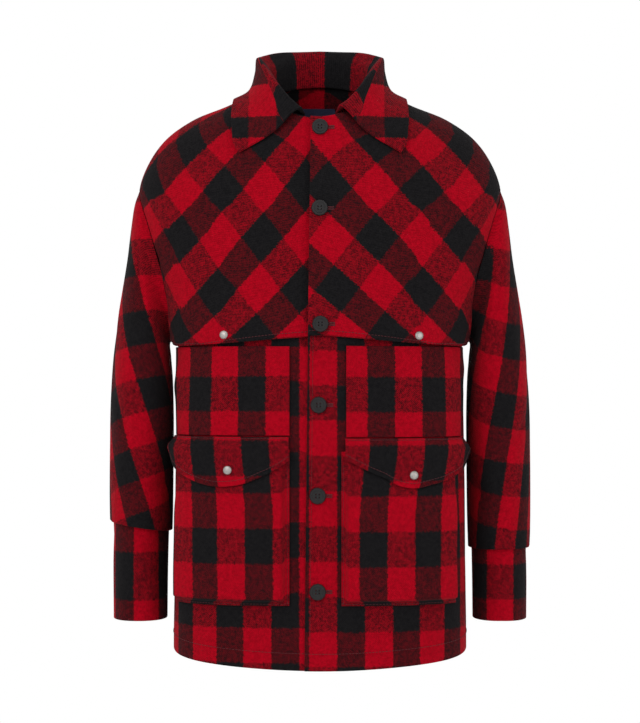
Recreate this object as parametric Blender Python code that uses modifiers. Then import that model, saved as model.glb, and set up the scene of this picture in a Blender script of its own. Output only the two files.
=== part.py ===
"""A wool jacket with a cape over the shoulders, filled out as if worn.

Metres, +Z up, the front faces -Y, and the wearer's left is at +X. The origin is the middle of
the neck opening, at the height of the back neck seam. Each cut piece is one thin wall that
follows the torso or the sleeve. A place on the torso is its turn round the body (0 at the
centre front, 90 degrees at the wearer's left side, 180 at the centre back) and its climb, the
distance in metres up the side from the hem. A place on a sleeve is its turn round the arm
(0 on top, 90 degrees at the front, 180 at the underarm) and its reach from the armhole.
"""

import math

import bmesh
import bpy
import numpy as np
from mathutils import Matrix, Vector

NAME = "wool_jacket"

# The cloth, in metres.
WALL = 0.0024  # the wool
COLLAR_WALL = 0.0030  # two layers pressed flat
SEAM_GAP = 0.0003  # between pieces that are sewn together
LAYER = WALL + SEAM_GAP  # from the middle of one layer to the next that lies on it
CAPE_TOP_LIFT = 0.0032  # the cape over the panel below it, at the neck
CAPE_EDGE_LIFT = 0.0054  # and at its free edge
CAPE_PATCH_LIFT = 0.0032  # more, where the upper patch goes under the cape
PATCH_LIFT = 0.0040  # a patch over its front

# The torso, a ring a row from the hem to the neck. Heights at the side, front and back of the
# ring, its half width, its depth to the front and to the back, and how square each half is.
TORSO = np.array(
    [
        # side_z front_z  back_z  wide    front   back    square_front square_back
        [-0.7480, -0.7670, -0.7560, 0.1908, 0.1420, 0.1380, 3.40, 2.50],
        [-0.6900, -0.6960, -0.6920, 0.1905, 0.1430, 0.1380, 3.40, 2.50],
        [-0.6000, -0.6040, -0.6010, 0.1895, 0.1430, 0.1360, 3.50, 2.50],
        [-0.5000, -0.5030, -0.5000, 0.1880, 0.1400, 0.1320, 3.50, 2.50],
        [-0.4200, -0.4230, -0.4200, 0.1868, 0.1350, 0.1290, 3.30, 2.45],
        [-0.3520, -0.3580, -0.3500, 0.1862, 0.1300, 0.1290, 3.00, 2.40],
        [-0.3000, -0.3100, -0.2960, 0.1985, 0.1260, 0.1300, 2.70, 2.30],
        [-0.2350, -0.2500, -0.2290, 0.2195, 0.1200, 0.1300, 2.45, 2.20],
        [-0.1900, -0.2160, -0.1840, 0.2305, 0.1150, 0.1270, 2.30, 2.15],
        [-0.1500, -0.1850, -0.1450, 0.2345, 0.1100, 0.1220, 2.20, 2.10],
        [-0.1160, -0.1570, -0.1110, 0.2225, 0.1040, 0.1165, 2.10, 2.05],
        [-0.0880, -0.1340, -0.0820, 0.2030, 0.0990, 0.1120, 2.00, 2.00],
        [-0.0620, -0.1110, -0.0540, 0.1680, 0.0950, 0.1060, 2.00, 2.00],
        [-0.0420, -0.0900, -0.0300, 0.1200, 0.0920, 0.0970, 2.00, 2.00],
        [-0.0210, -0.0640, -0.0030, 0.0760, 0.0870, 0.0860, 2.00, 2.00],
    ]
)
ARMPIT_ROW = 5
SHOULDER_ROW = 9
ARMHOLE_FRONT_TURN = 24.0  # degrees that the armhole is cut forward of the side
ARMHOLE_BACK_TURN = 24.0

# How far past the centre front each front reaches, in metres, at the neck and at the hem.
OVERLAP_TOP = 0.0110
OVERLAP_HEM = 0.0195
OVERLAP_UNDER = 0.0180

# The free edge of the cape: height at the centre front, at mid front, at the side, at the back.
CAPE_EDGE = {"centre": -0.3440, "front": -0.3545, "side": -0.3430, "back": -0.3560}

# The outside of the over-sleeve, a row down the arm. The line of its outer side, the line of
# its inner side beside the torso, half its depth, and the middle of that depth.
SLEEVE = np.array(
    [
        # outer_x outer_z  inner_x  inner_z  depth   middle_y
        [0.2465, -0.1750, 0.1940, -0.3470, 0.0570, 0.0030],
        [0.2500, -0.2020, 0.1985, -0.3510, 0.0620, 0.0020],
        [0.2545, -0.2400, 0.1975, -0.3720, 0.0665, 0.0010],
        [0.2610, -0.2810, 0.1955, -0.3960, 0.0700, 0.0000],
        [0.2665, -0.3150, 0.1945, -0.4180, 0.0710, -0.0010],
        [0.2722, -0.3610, 0.1938, -0.4480, 0.0710, -0.0020],
        [0.2762, -0.4270, 0.1938, -0.4900, 0.0690, -0.0040],
        [0.2772, -0.4900, 0.1940, -0.5350, 0.0660, -0.0060],
        [0.2775, -0.5500, 0.1945, -0.5800, 0.0630, -0.0080],
        [0.2772, -0.6000, 0.1955, -0.6180, 0.0600, -0.0100],
        [0.2768, -0.6500, 0.1962, -0.6600, 0.0570, -0.0120],
        [0.2762, -0.7130, 0.1966, -0.7130, 0.0540, -0.0140],
    ]
)
SLEEVE_POWER = 2.15
SLEEVE_STEP = 0.0046  # from the over-sleeve in to the sleeve
ARMHOLE_DEEPER = 0.0012  # how much nearer the body the sleeve starts than the over-sleeve
# Height of the free end of each over-sleeve, on its outer and its inner side.
OVERSLEEVE_END = {"right": (-0.5850, -0.5980), "left": (-0.6190, -0.6200)}

# The collar, a row from the centre back to its front end on one side. The turn of the seam,
# the height of the stand, how far the stand leans out, and where the edge of the fall lies on
# the torso: its turn and its distance down from the neck.
COLLAR = np.array(
    [
        # seam   stand    lean     edge    down
        [180.0, 0.0500, 0.0080, 180.0, 0.0520],
        [160.0, 0.0490, 0.0080, 160.0, 0.0520],
        [140.0, 0.0470, 0.0070, 140.0, 0.0500],
        [115.0, 0.0440, 0.0040, 114.0, 0.0460],
        [90.0, 0.0390, -0.0010, 86.0, 0.0390],
        [65.0, 0.0310, -0.0030, 66.0, 0.0520],
        [42.0, 0.0205, -0.0020, 48.0, 0.0820],
        [27.0, 0.0115, 0.0000, 38.0, 0.1120],
        [16.0, 0.0058, 0.0010, 32.5, 0.1270],
    ]
)

# Patches on each front, in metres across from the centre front and down from the origin.
# The corners of a patch run clockwise in the photo, from its upper corner by the centre front.
UPPER_PATCH = {
    "right": {"near": -0.0385, "far": -0.1830, "top": -0.3570, "low": -0.4700},
    "left": {"near": 0.0330, "far": 0.1810, "top": -0.3570, "low": -0.4722},
}
POCKET = {
    "right": {"near": -0.0385, "far": -0.1790, "top": -0.4875, "low": -0.6840},
    "left": {"near": 0.0270, "far": 0.1700, "top": -0.4900, "low": -0.6840},
}
POCKET_PROUD = 0.0150  # how far the face of a pocket stands off the front
POCKET_MOUTH_PROUD = 0.0062
POCKET_FLANGE = 0.0060
POCKET_GUSSET = 0.0045
FLAP_FLARE = 0.0040
# The flap: height of its seam, then its edge from near to far as (across, down).
FLAP = {
    "right": {
        "seam": -0.4714,
        "edge": (
            (-0.0395, -0.5025), (-0.0560, -0.5135), (-0.0750, -0.5225), (-0.0940, -0.5305),
            (-0.1130, -0.5340), (-0.1320, -0.5340), (-0.1510, -0.5285), (-0.1680, -0.5185),
            (-0.1790, -0.5055), (-0.1840, -0.4885),
        ),
    },
    "left": {
        "seam": -0.4735,
        "edge": (
            (0.0320, -0.5005), (0.0480, -0.5085), (0.0640, -0.5165), (0.0800, -0.5235),
            (0.0980, -0.5335), (0.1160, -0.5365), (0.1350, -0.5325), (0.1540, -0.5265),
            (0.1710, -0.5145), (0.1810, -0.4945),
        ),
    },
}

# Buttons down the centre front and snaps, as (across, height).
BUTTONS = (
    (0.0000, -0.0785), (-0.0005, -0.1836), (0.0005, -0.3300),
    (-0.0018, -0.4314), (-0.0030, -0.5457), (-0.0030, -0.6664),
)
BUTTON_RADIUS = 0.0108
BUTTON_THICK = 0.0034
BUTTON_HOLE_RADIUS = 0.0012
BUTTON_HOLE_OUT = 0.0026
SNAP_RADIUS = 0.0056
SNAP_HEIGHT = 0.0026
SNAPS = {
    "snap_cape_right": ("cape", "right", -0.1190, -0.3430),
    "snap_cape_left": ("cape", "left", 0.1225, -0.3440),
    "snap_flap_right": ("flap", "right", -0.1135, -0.5138),
    "snap_flap_left": ("flap", "left", 0.1150, -0.5201),
}

LABEL_WIDTH = 0.0440
LABEL_DROP = 0.0240
LABEL_MIDDLE = -0.0060
LABEL_TOP = -0.0300
LABEL_WALL = 0.0010

CLOTH_RED = (0.24, 0.012, 0.018)
HORN = (0.012, 0.012, 0.015)
METAL = (0.55, 0.54, 0.52)
NAVY = (0.010, 0.014, 0.045)


def smoothstep(value, low, high):
    """0 below low, 1 above high, and a soft step between."""
    u = np.clip((np.asarray(value, float) - low) / (high - low), 0.0, 1.0)
    return u * u * (3.0 - 2.0 * u)


def through(table, knots, at):
    """A smooth curve through the rows of a table, read at some places between its knots."""
    at = np.clip(np.asarray(at, float), knots[0], knots[-1])
    i = np.clip(np.searchsorted(knots, at, side="right") - 1, 0, len(knots) - 2)
    step = np.diff(knots)
    rise = np.diff(table, axis=0) / step[:, None]
    slope = np.empty_like(table)
    slope[0], slope[-1] = rise[0], rise[-1]
    both = (step[1:] + step[:-1])[:, None]
    slope[1:-1] = (rise[:-1] * step[1:, None] + rise[1:] * step[:-1, None]) / both
    h = step[i][..., None]
    u = ((at - knots[i]) / step[i])[..., None]
    start = table[i] * (1 + 2 * u) * (1 - u) ** 2 + slope[i] * h * u * (1 - u) ** 2
    end = table[i + 1] * u * u * (3 - 2 * u) - slope[i + 1] * h * u * u * (1 - u)
    return start + end


def lengths(points):
    """The distance along a line of points, from its start to each."""
    steps = np.linalg.norm(np.diff(points, axis=0), axis=1)
    return np.concatenate([[0.0], np.cumsum(steps)])


CLIMB = lengths(TORSO[:, [0, 3]])
NECK = CLIMB[-1]
ARMPIT = CLIMB[ARMPIT_ROW]
SHOULDER = CLIMB[SHOULDER_ROW]


def torso_bare(turn, climb):
    """The middle of the body panels, before anything is laid on them. The turn is in degrees."""
    columns = np.moveaxis(through(TORSO, CLIMB, climb), -1, 0)
    side_z, front_z, back_z, wide, front, back, square_front, square_back = columns
    sine, cosine = np.sin(np.radians(turn)), np.cos(np.radians(turn))
    ahead = cosine > 0
    square = np.where(ahead, square_front, square_back)
    fuller = (np.abs(sine) ** square + np.abs(cosine) ** square) ** (-1 / square)
    x = wide * sine * fuller
    y = -np.where(ahead, front, back) * cosine * fuller
    z = side_z * sine**2 + np.where(ahead, front_z, back_z) * cosine**2
    return np.stack([x, y, z], axis=-1)


def torso(turn, climb, lift=0.0):
    """A point on the torso, moved out from the middle of the body panels by lift."""
    turn, climb = np.broadcast_arrays(np.asarray(turn, float), np.asarray(climb, float))
    safe = np.clip(climb, 0.002, NECK - 0.002)
    across = torso_bare(turn + 0.5, safe) - torso_bare(turn - 0.5, safe)
    up = torso_bare(turn, safe + 0.002) - torso_bare(turn, safe - 0.002)
    out = np.cross(across, up)
    out /= np.linalg.norm(out, axis=-1, keepdims=True)
    return torso_bare(turn, climb) + out * np.asarray(lift, float)[..., None]


def turn_at(x, climb):
    """The turn of the place on the front that is x across from the centre, at some climb."""
    columns = through(TORSO, CLIMB, climb)
    wide, square = columns[..., 3], columns[..., 6]
    part = np.clip(np.abs(x) / wide, 1e-6, 1.0)
    return np.sign(x) * np.degrees(np.arctan2(1.0, (part**-square - 1.0) ** (1 / square)))


def front_place(x, z):
    """The turn and climb of the place on the front that is at x and z."""
    x, z = np.broadcast_arrays(np.asarray(x, float), np.asarray(z, float))
    low, high = np.zeros(x.shape), np.full(x.shape, NECK)
    for _ in range(24):
        middle = (low + high) / 2
        below = torso_bare(turn_at(x, middle), middle)[..., 2] < z
        low, high = np.where(below, middle, low), np.where(below, high, middle)
    return turn_at(x, low), low


def climb_at(turn, z):
    """The climb at which the torso has the height z, at some turn."""
    turn, z = np.broadcast_arrays(np.asarray(turn, float), np.asarray(z, float))
    low, high = np.zeros(turn.shape), np.full(turn.shape, NECK)
    for _ in range(30):
        middle = (low + high) / 2
        below = torso_bare(turn, middle)[..., 2] < z
        low, high = np.where(below, middle, low), np.where(below, high, middle)
    return low


def armhole_turn(climb, reach):
    """Degrees that the armhole is cut back from the side, at some climb."""
    middle, half = (ARMPIT + SHOULDER) / 2, (SHOULDER - ARMPIT) / 2
    inside = 1.0 - ((climb - middle) / half) ** 2
    return reach * np.sqrt(np.maximum(inside, 0.0))


def cape_lift(turn, climb):
    """How far the cape stands off the panel that it lies on."""
    above = climb - cape_edge(turn)
    loose = 1.0 - smoothstep(above, 0.0, 0.16)
    folded = np.abs(((np.asarray(turn, float) + 180) % 360) - 180)
    on_patch = smoothstep(folded, 8.0, 15.0) * (1 - smoothstep(folded, 74.0, 86.0))
    return (
        CAPE_TOP_LIFT
        + (CAPE_EDGE_LIFT - CAPE_TOP_LIFT) * loose
        + CAPE_PATCH_LIFT * on_patch * (1.0 - smoothstep(above, 0.010, 0.060))
    )


def cape_edge(turn):
    """The climb of the free edge of the cape, at some turn."""
    turn = np.abs(((np.asarray(turn, float) + 180) % 360) - 180)
    places = np.array([0.0, 12.0, 40.0, 66.0, 84.0, 90.0, 98.0, 116.0, 145.0, 180.0])
    heights = np.array(
        [
            CAPE_EDGE["centre"], CAPE_EDGE["centre"] - 0.003, CAPE_EDGE["front"],
            CAPE_EDGE["front"], CAPE_EDGE["side"], CAPE_EDGE["side"] + 0.002,
            CAPE_EDGE["side"], CAPE_EDGE["back"], CAPE_EDGE["back"], CAPE_EDGE["back"],
        ]
    )
    return climb_at(turn, through(heights[:, None], places, turn)[..., 0])


def side_of(side):
    return 1.0 if side == "left" else -1.0


def front_lift(side, turn, climb):
    """The left front lies on the right one, and on its cape higher up."""
    if side == "right":
        return np.zeros(np.broadcast(turn, climb).shape)
    under = front_edge("right", climb) + 1.5
    over_front = 1.0 - smoothstep(turn, under, under + 30.0)
    over_cape = 1.0 - smoothstep(turn, under, under + 11.0)
    edge = cape_edge(turn)
    above = smoothstep(climb, edge - 0.030, edge - 0.006)
    return over_front * (LAYER + 0.0002) + over_cape * above * (CAPE_EDGE_LIFT + 0.0006)


def front_edge(side, climb):
    """The turn at which a front ends, past the centre."""
    down = 1.0 - climb / NECK
    if side == "left":
        return turn_at(-(OVERLAP_TOP + (OVERLAP_HEM - OVERLAP_TOP) * down), climb)
    return turn_at(np.full(np.shape(climb), OVERLAP_UNDER), climb)


def on_front(side, x, z, lift):
    """A place on a front at x and z, moved out from its middle by lift."""
    turn, climb = front_place(x, z)
    return torso(turn, climb, front_lift(side, turn, climb) + lift)


def grid_faces(rows, columns, closed=False):
    """Faces of a grid of points, with each row joined up into a ring if closed."""
    faces = []
    for r in range(rows - 1):
        for c in range(columns if closed else columns - 1):
            d = (c + 1) % columns
            faces.append((r * columns + c, r * columns + d, (r + 1) * columns + d, (r + 1) * columns + c))
    return faces


def material(name, colour, metallic=0.0, roughness=0.8):
    made = bpy.data.materials.new(name)
    made.use_nodes = True
    shader = made.node_tree.nodes["Principled BSDF"]
    shader.inputs["Base Color"].default_value = (*colour, 1.0)
    shader.inputs["Metallic"].default_value = metallic
    shader.inputs["Roughness"].default_value = roughness
    return made


def start():
    for old in list(bpy.data.objects):
        bpy.data.objects.remove(old, do_unlink=True)
    made = bpy.data.collections.new(NAME)
    bpy.context.scene.collection.children.link(made)
    return made


def add_mesh(collection, name, points, faces, look):
    mesh = bpy.data.meshes.new(name)
    mesh.from_pydata([tuple(p) for p in np.asarray(points).reshape(-1, 3)], [], faces)
    mesh.validate()
    mesh.materials.append(look)
    made = bpy.data.objects.new(name, mesh)
    collection.objects.link(made)
    return made


def add_cloth(collection, name, points, look, wall=WALL, closed=False):
    """A grid of points on the middle of a piece of cloth, given its wall."""
    rows, columns = points.shape[:2]
    made = add_mesh(collection, name, points, grid_faces(rows, columns, closed), look)
    wide = made.modifiers.new("wall", "SOLIDIFY")
    wide.thickness = wall
    wide.offset = 0.0
    wide.use_even_offset = True
    wide.use_quality_normals = True
    return made


def cosine_steps(count):
    """0 to 1 in steps that are finer at both ends."""
    return (1 - np.cos(np.linspace(0, math.pi, count))) / 2


def finer_rows(rows, times):
    """The rows of a grid with each step between them cut into equal parts."""
    at = np.linspace(0, len(rows) - 1, (len(rows) - 1) * times + 1)
    low = np.minimum(at.astype(int), len(rows) - 2)
    share = (at - low).reshape((-1,) + (1,) * (rows.ndim - 1))
    return rows[low] * (1 - share) + rows[low + 1] * share


def panel_rows(times=1):
    """The climbs of the rows of a panel, finer where the armhole turns."""
    below = np.linspace(0.0, ARMPIT, 9)[:-1]
    hole = ARMPIT + (SHOULDER - ARMPIT) * cosine_steps(10)
    above = np.linspace(SHOULDER, NECK, 8)[1:]
    return finer_rows(np.concatenate([below, hole, above])[:, None], times)


def cape_rows(turn, times=1):
    """The climbs of the rows of the cape: its free edge, one above it, and those of a panel."""
    rows = panel_rows()
    above = rows[rows[:, 0] > ARMPIT + 0.020]
    edge = cape_edge(turn)
    between = (edge + above[:1]) / 2
    return finer_rows(np.concatenate([edge, between, above + 0.0 * edge]), times)


def half_gap():
    """Degrees of turn that half the gap of a side or shoulder seam takes."""
    return math.degrees(0.0004 / 0.12)


def front_turns(side, climb, share):
    """The turns of the columns of a front, from its edge at the centre to its side."""
    start_turn = front_edge(side, climb)
    hole = armhole_turn(climb, ARMHOLE_FRONT_TURN)
    end_turn = side_of(side) * (90.0 - half_gap() - hole)
    return start_turn + (end_turn - start_turn) * share


def back_turns(side, climb, share):
    start_turn = 90.0 + half_gap() + armhole_turn(climb, ARMHOLE_BACK_TURN)
    return start_turn + (360.0 - 2 * start_turn) * share


def panel_grid(turns, side, columns, times=1):
    """The turns and climbs of a grid over a front or the back."""
    climb = panel_rows(times)
    turn = turns(side, climb, np.linspace(0, 1, columns)[None, :])
    return turn, np.broadcast_to(climb, turn.shape)


def cape_grid(turns, side, columns, times=1):
    """The turns and climbs of a grid over a front or the back of the cape."""
    share = np.linspace(0, 1, columns)[None, :]
    turn = turns(side, np.full((1, 1), ARMPIT + 0.005), share)
    for _ in range(6):
        climb = cape_rows(turn[:1], times)
        turn = turns(side, climb, share)
    return turn, climb


def front_points(side, columns=15, times=1):
    """The middle of one front."""
    turn, climb = panel_grid(front_turns, side, columns, times)
    return torso(turn, climb, front_lift(side, turn, climb))


def back_points(columns=23, times=1):
    return torso(*panel_grid(back_turns, "back", columns, times), 0.0)


def cape_front_points(side, columns=15, times=1):
    turn, climb = cape_grid(front_turns, side, columns, times)
    return torso(turn, climb, front_lift(side, turn, climb) + cape_lift(turn, climb))


def cape_back_points(columns=23, times=1):
    turn, climb = cape_grid(back_turns, "back", columns, times)
    return torso(turn, climb, cape_lift(turn, climb))


def armhole_ring(turn, layer):
    """Where a sleeve is sewn in, just inside the edge that is cut in the body."""
    round_arm = np.radians(turn)
    low = 0.5 - 0.5 * np.cos(round_arm)
    inset = 0.0016 + 0.0030 * low**3
    half = (SHOULDER - ARMPIT) / 2
    climb = (ARMPIT + SHOULDER) / 2 + (half - inset) * np.cos(round_arm)
    ahead = np.sin(round_arm) > 0
    reach = np.where(ahead, ARMHOLE_FRONT_TURN, ARMHOLE_BACK_TURN) - np.degrees(inset / 0.11)
    around = 90.0 - reach * np.sin(round_arm)
    ring = torso(around, climb, cape_lift(around, climb) * (1.0 - low**6))
    if layer == "sleeve":
        middle = (ring.max(axis=0) + ring.min(axis=0)) / 2
        inward = (middle - ring) * np.array([0.0, 1.0, 1.0])
        inward /= np.linalg.norm(inward, axis=1, keepdims=True)
        ring = ring + inward * SLEEVE_STEP - np.array([ARMHOLE_DEEPER, 0.0, 0.0])
    return ring


def moved_in(line, distance, side):
    """A line in the XZ plane moved square to itself."""
    along = np.gradient(line, axis=0)
    along /= np.linalg.norm(along, axis=1, keepdims=True)
    return line + side * distance * np.stack([-along[:, 1], along[:, 0]], axis=1)


def sleeve_rings(layer, turns):
    """Rings of a left sleeve from the armhole down, a row each."""
    step = WALL / 2 + (SLEEVE_STEP if layer == "sleeve" else 0.0)
    outer = moved_in(SLEEVE[:, 0:2], step, -1.0)
    inner = moved_in(SLEEVE[:, 2:4], step, 1.0)
    around = np.radians(turns)
    cosine, sine = np.cos(around), np.sin(around)
    cosine = np.sign(cosine) * np.abs(cosine) ** (2 / SLEEVE_POWER)
    sine = np.sign(sine) * np.abs(sine) ** (2 / SLEEVE_POWER)
    rings = [armhole_ring(turns, layer)]
    for (out_x, out_z), (in_x, in_z), row in zip(outer, inner, SLEEVE):
        x = (out_x + in_x) / 2 + (out_x - in_x) / 2 * cosine
        z = (out_z + in_z) / 2 + (out_z - in_z) / 2 * cosine
        y = row[5] - (row[4] - step) * sine
        rings.append(np.stack([x, y, z], axis=1))
    return np.array(rings)


SLEEVE_KNOTS = np.concatenate(
    [[0.0], 0.0300 + lengths((SLEEVE[:, 0:2] + SLEEVE[:, 2:4]) / 2)]
)


# How far down the arm the rows of both layers of a sleeve lie.
SLEEVE_ROWS = np.array([0.0, 0.009, 0.020, 0.032, 0.046, 0.070, 0.105, 0.150, 0.200, 0.260, 0.330, 0.400])


def sleeve_points(side, layer, around=18, times=1):
    """The middle of a sleeve or an over-sleeve, a ring a row, from the back of the arm round."""
    turns = np.arange(around) * 360.0 / around
    rings = sleeve_rings(layer, turns)
    if layer == "sleeve":
        last = np.full(around, SLEEVE_KNOTS[-1])
    else:
        outer_z, inner_z = OVERSLEEVE_END[side]
        stop_z = outer_z + (inner_z - outer_z) * (1 - np.cos(np.radians(turns))) / 2
        fine = np.linspace(0.15, SLEEVE_KNOTS[-1], 300)
        heights = [through(rings[:, k], SLEEVE_KNOTS, fine)[:, 2] for k in range(around)]
        last = np.array([np.interp(-z, -line, fine) for z, line in zip(stop_z, heights)])
    rows = [np.full(around, row) for row in SLEEVE_ROWS if row < last.min() - 0.020]
    rows = finer_rows(np.array(rows + [last]), times)
    points = np.empty((len(rows), around, 3))
    for k in range(around):
        points[:, k] = through(rings[:, k], SLEEVE_KNOTS, rows[:, k])
    points[..., 0] *= side_of(side)
    return points


def collar_section(row, side):
    """Points across the collar from its seam up over the roll and down the fall."""
    seam_turn, stand, lean, edge_turn, down = row
    seam_turn, edge_turn = side * seam_turn, side * edge_turn
    seam = torso(seam_turn, NECK, 0.0)
    away = np.array([seam[0], seam[1], 0.0])
    away /= np.linalg.norm(away)
    up = np.array([0.0, 0.0, 1.0])
    base = seam - away * 0.0056 - up * 0.0010
    section = [
        base,
        base + up * stand * 0.45 + away * (lean * 0.35 - 0.0010),
        base + up * stand * 0.86 + away * lean * 0.85,
        base + up * stand + away * (lean + 0.0040),
    ]
    falls = ((0.06, 0.0, 0.0075), (0.25, 0.0030, 0.0080), (0.60, 0.37, 0.0040), (1.0, 1.0, 0.0024))
    for share, part, free in falls:
        turn, climb = seam_turn + (edge_turn - seam_turn) * share, NECK - down * part
        if part < 0.1:
            climb = NECK - part
        rise = stand * {0.06: 0.88, 0.25: 0.42}.get(share, 0.0)
        stack = cape_lift(turn, climb) + WALL / 2 + COLLAR_WALL / 2
        if side > 0:
            stack = stack + front_lift("left", turn, climb)
        section.append(torso(turn, climb, stack + free) + up * rise)
    return np.array(section)


def collar_points(across=9, along=17):
    """The collar from the right front end round the back to the left front end."""
    knots = np.linspace(0, 1, len(COLLAR))
    at = np.linspace(0, 1, along)
    right = [collar_section(row, -1.0) for row in through(COLLAR, knots, at[::-1])]
    left = [collar_section(row, 1.0) for row in through(COLLAR, knots, at[1:])]
    sections = np.array(right + left)
    points = []
    for section in sections:
        knots = lengths(section)
        points.append(through(section, knots, knots[-1] * np.linspace(0, 1, across)))
    return np.array(points)


def across_front(side, near, far, z, share):
    """Places on a front between two edges, spaced evenly round it at each height."""
    near_turn, _ = front_place(near, z)
    far_turn, _ = front_place(far, z)
    turn = near_turn[:, None] + (far_turn - near_turn)[:, None] * share
    climb = climb_at(turn, z[:, None] + 0.0 * turn)
    return turn, climb


def laid(side, turn, climb, lift):
    return torso(turn, climb, front_lift(side, turn, climb) + lift)


def upper_patch_points(side, across=11, down=5):
    size = UPPER_PATCH[side]
    z = np.linspace(size["low"], size["top"], down)
    turn, climb = across_front(side, size["near"], size["far"], z, np.linspace(0, 1, across))
    return laid(side, turn, climb, PATCH_LIFT)


def pocket_proud(below_mouth):
    """How far the face of a pocket stands off, at some distance below its mouth."""
    return POCKET_MOUTH_PROUD + (POCKET_PROUD - POCKET_MOUTH_PROUD) * smoothstep(
        below_mouth, 0.0, 0.090
    )


def pocket_points(side, across=11, down=9):
    """The bellows pocket: a flange on the front, gusset walls, and the face."""
    size = POCKET[side]
    wide = abs(size["far"] - size["near"])
    flange, gusset = POCKET_FLANGE / wide, POCKET_GUSSET / wide
    inner = flange + gusset
    share = np.concatenate([[0.0, flange], np.linspace(inner, 1 - inner, across - 4), [1 - flange, 1.0]])
    low = size["low"]
    inner_z = low + POCKET_FLANGE + POCKET_GUSSET
    z = np.concatenate([[low, low + POCKET_FLANGE], np.linspace(inner_z, size["top"], down - 2)])
    turn, climb = across_front(side, size["near"], size["far"], z, share)
    on_face = (share >= inner - 1e-9) & (share <= 1 - inner + 1e-9)
    on_face = on_face[None, :] & (z >= inner_z - 1e-9)[:, None]
    proud = pocket_proud(size["top"] - z)[:, None] + 0.0 * turn
    return laid(side, turn, climb, np.where(on_face, proud, PATCH_LIFT))


def flap_lift(side, x, z):
    """A flap starts on the front, crosses the mouth of the pocket, and flares at its far end."""
    below = FLAP[side]["seam"] - z
    over_pocket = pocket_proud(POCKET[side]["top"] - z) + LAYER + 0.0014
    flare = FLAP_FLARE * smoothstep(np.abs(x), 0.150, 0.185)
    return PATCH_LIFT + (over_pocket + flare - PATCH_LIFT) * smoothstep(below, -0.002, 0.016)


def flap_points(side, across=13, down=6):
    """The flap, from its scalloped edge up to its seam."""
    edge = np.array(FLAP[side]["edge"])
    seam_z = FLAP[side]["seam"]
    knots = lengths(edge)
    line = through(edge, knots, knots[-1] * np.linspace(0, 1, across))
    share = (np.linspace(1, 0, down) ** 1.3)[:, None]
    z = seam_z + (line[None, :, 1] - seam_z) * share
    x = line[None, :, 0] + 0.0 * share
    turn, climb = front_place(x, z)
    return laid(side, turn, climb, flap_lift(side, x, z))


def label_points(across=3, down=3):
    """A blank label on the inside of the back, below the neck."""
    x = LABEL_MIDDLE + LABEL_WIDTH * np.linspace(0.5, -0.5, across)
    z = LABEL_TOP - LABEL_DROP * np.linspace(1, 0, down)
    turn = 180.0 - np.degrees(np.arcsin(x / 0.095))[None, :] + 0.0 * z[:, None]
    climb = climb_at(turn, z[:, None] + 0.0 * turn)
    return torso(turn, climb, -(WALL / 2 + LABEL_WALL / 2 + 0.0012))


def frame_at(point, out):
    """A placing matrix with its Z along the way out of the cloth."""
    out = Vector(out).normalized()
    across = Vector((0, 0, 1)).cross(out).normalized()
    return Matrix.Translation(Vector(point)) @ Matrix((across, out.cross(across), out)).transposed().to_4x4()


def seat(place, lift):
    """A matrix on the cloth at a place that a function of lift gives."""
    low, high = place(lift), place(lift + 0.002)
    return frame_at(low, high - low)


def disc(collection, name, radius, thick, matrix, look, holes=False, sides=12):
    """A button: a disc with a sunk middle and four holes."""
    profile = [
        (0.0, 0.0), (radius * 0.92, 0.0), (radius, thick * 0.45), (radius * 0.92, thick),
        (radius * 0.72, thick), (radius * 0.60, thick * 0.72), (0.0, thick * 0.72),
    ]
    bm = bmesh.new()
    rings = []
    for r, z in profile:
        if r == 0.0:
            rings.append([bm.verts.new((0, 0, z))])
            continue
        turns = [2 * math.pi * k / sides for k in range(sides)]
        rings.append([bm.verts.new((r * math.cos(t), r * math.sin(t), z)) for t in turns])
    for low, high in zip(rings, rings[1:]):
        for k in range(sides):
            j = (k + 1) % sides
            if len(low) == 1:
                bm.faces.new((low[0], high[j], high[k]))
            elif len(high) == 1:
                bm.faces.new((low[k], low[j], high[0]))
            else:
                bm.faces.new((low[k], low[j], high[j], high[k]))
    bmesh.ops.transform(bm, matrix=matrix, verts=bm.verts)
    mesh = bpy.data.meshes.new(name)
    bm.to_mesh(mesh)
    bm.free()
    mesh.materials.append(look)
    made = bpy.data.objects.new(name, mesh)
    collection.objects.link(made)
    if holes:
        cut_holes(made, matrix, thick)
    return made


def cut_holes(button, matrix, thick):
    """Four thread holes through a button."""
    bm = bmesh.new()
    for x in (-1, 1):
        for y in (-1, 1):
            place = Matrix.Translation((x * BUTTON_HOLE_OUT / 1.414, y * BUTTON_HOLE_OUT / 1.414, thick / 2))
            bmesh.ops.create_cone(
                bm, cap_ends=True, segments=5, radius1=BUTTON_HOLE_RADIUS,
                radius2=BUTTON_HOLE_RADIUS, depth=thick * 2, matrix=matrix @ place,
            )
    mesh = bpy.data.meshes.new(button.name + "_holes")
    bm.to_mesh(mesh)
    bm.free()
    cutter = bpy.data.objects.new(button.name + "_holes", mesh)
    button.users_collection[0].objects.link(cutter)
    cutter.hide_render = True
    cutter.hide_viewport = True
    cut = button.modifiers.new("holes", "BOOLEAN")
    cut.operation = "DIFFERENCE"
    cut.solver = "EXACT"
    cut.object = cutter


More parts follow.
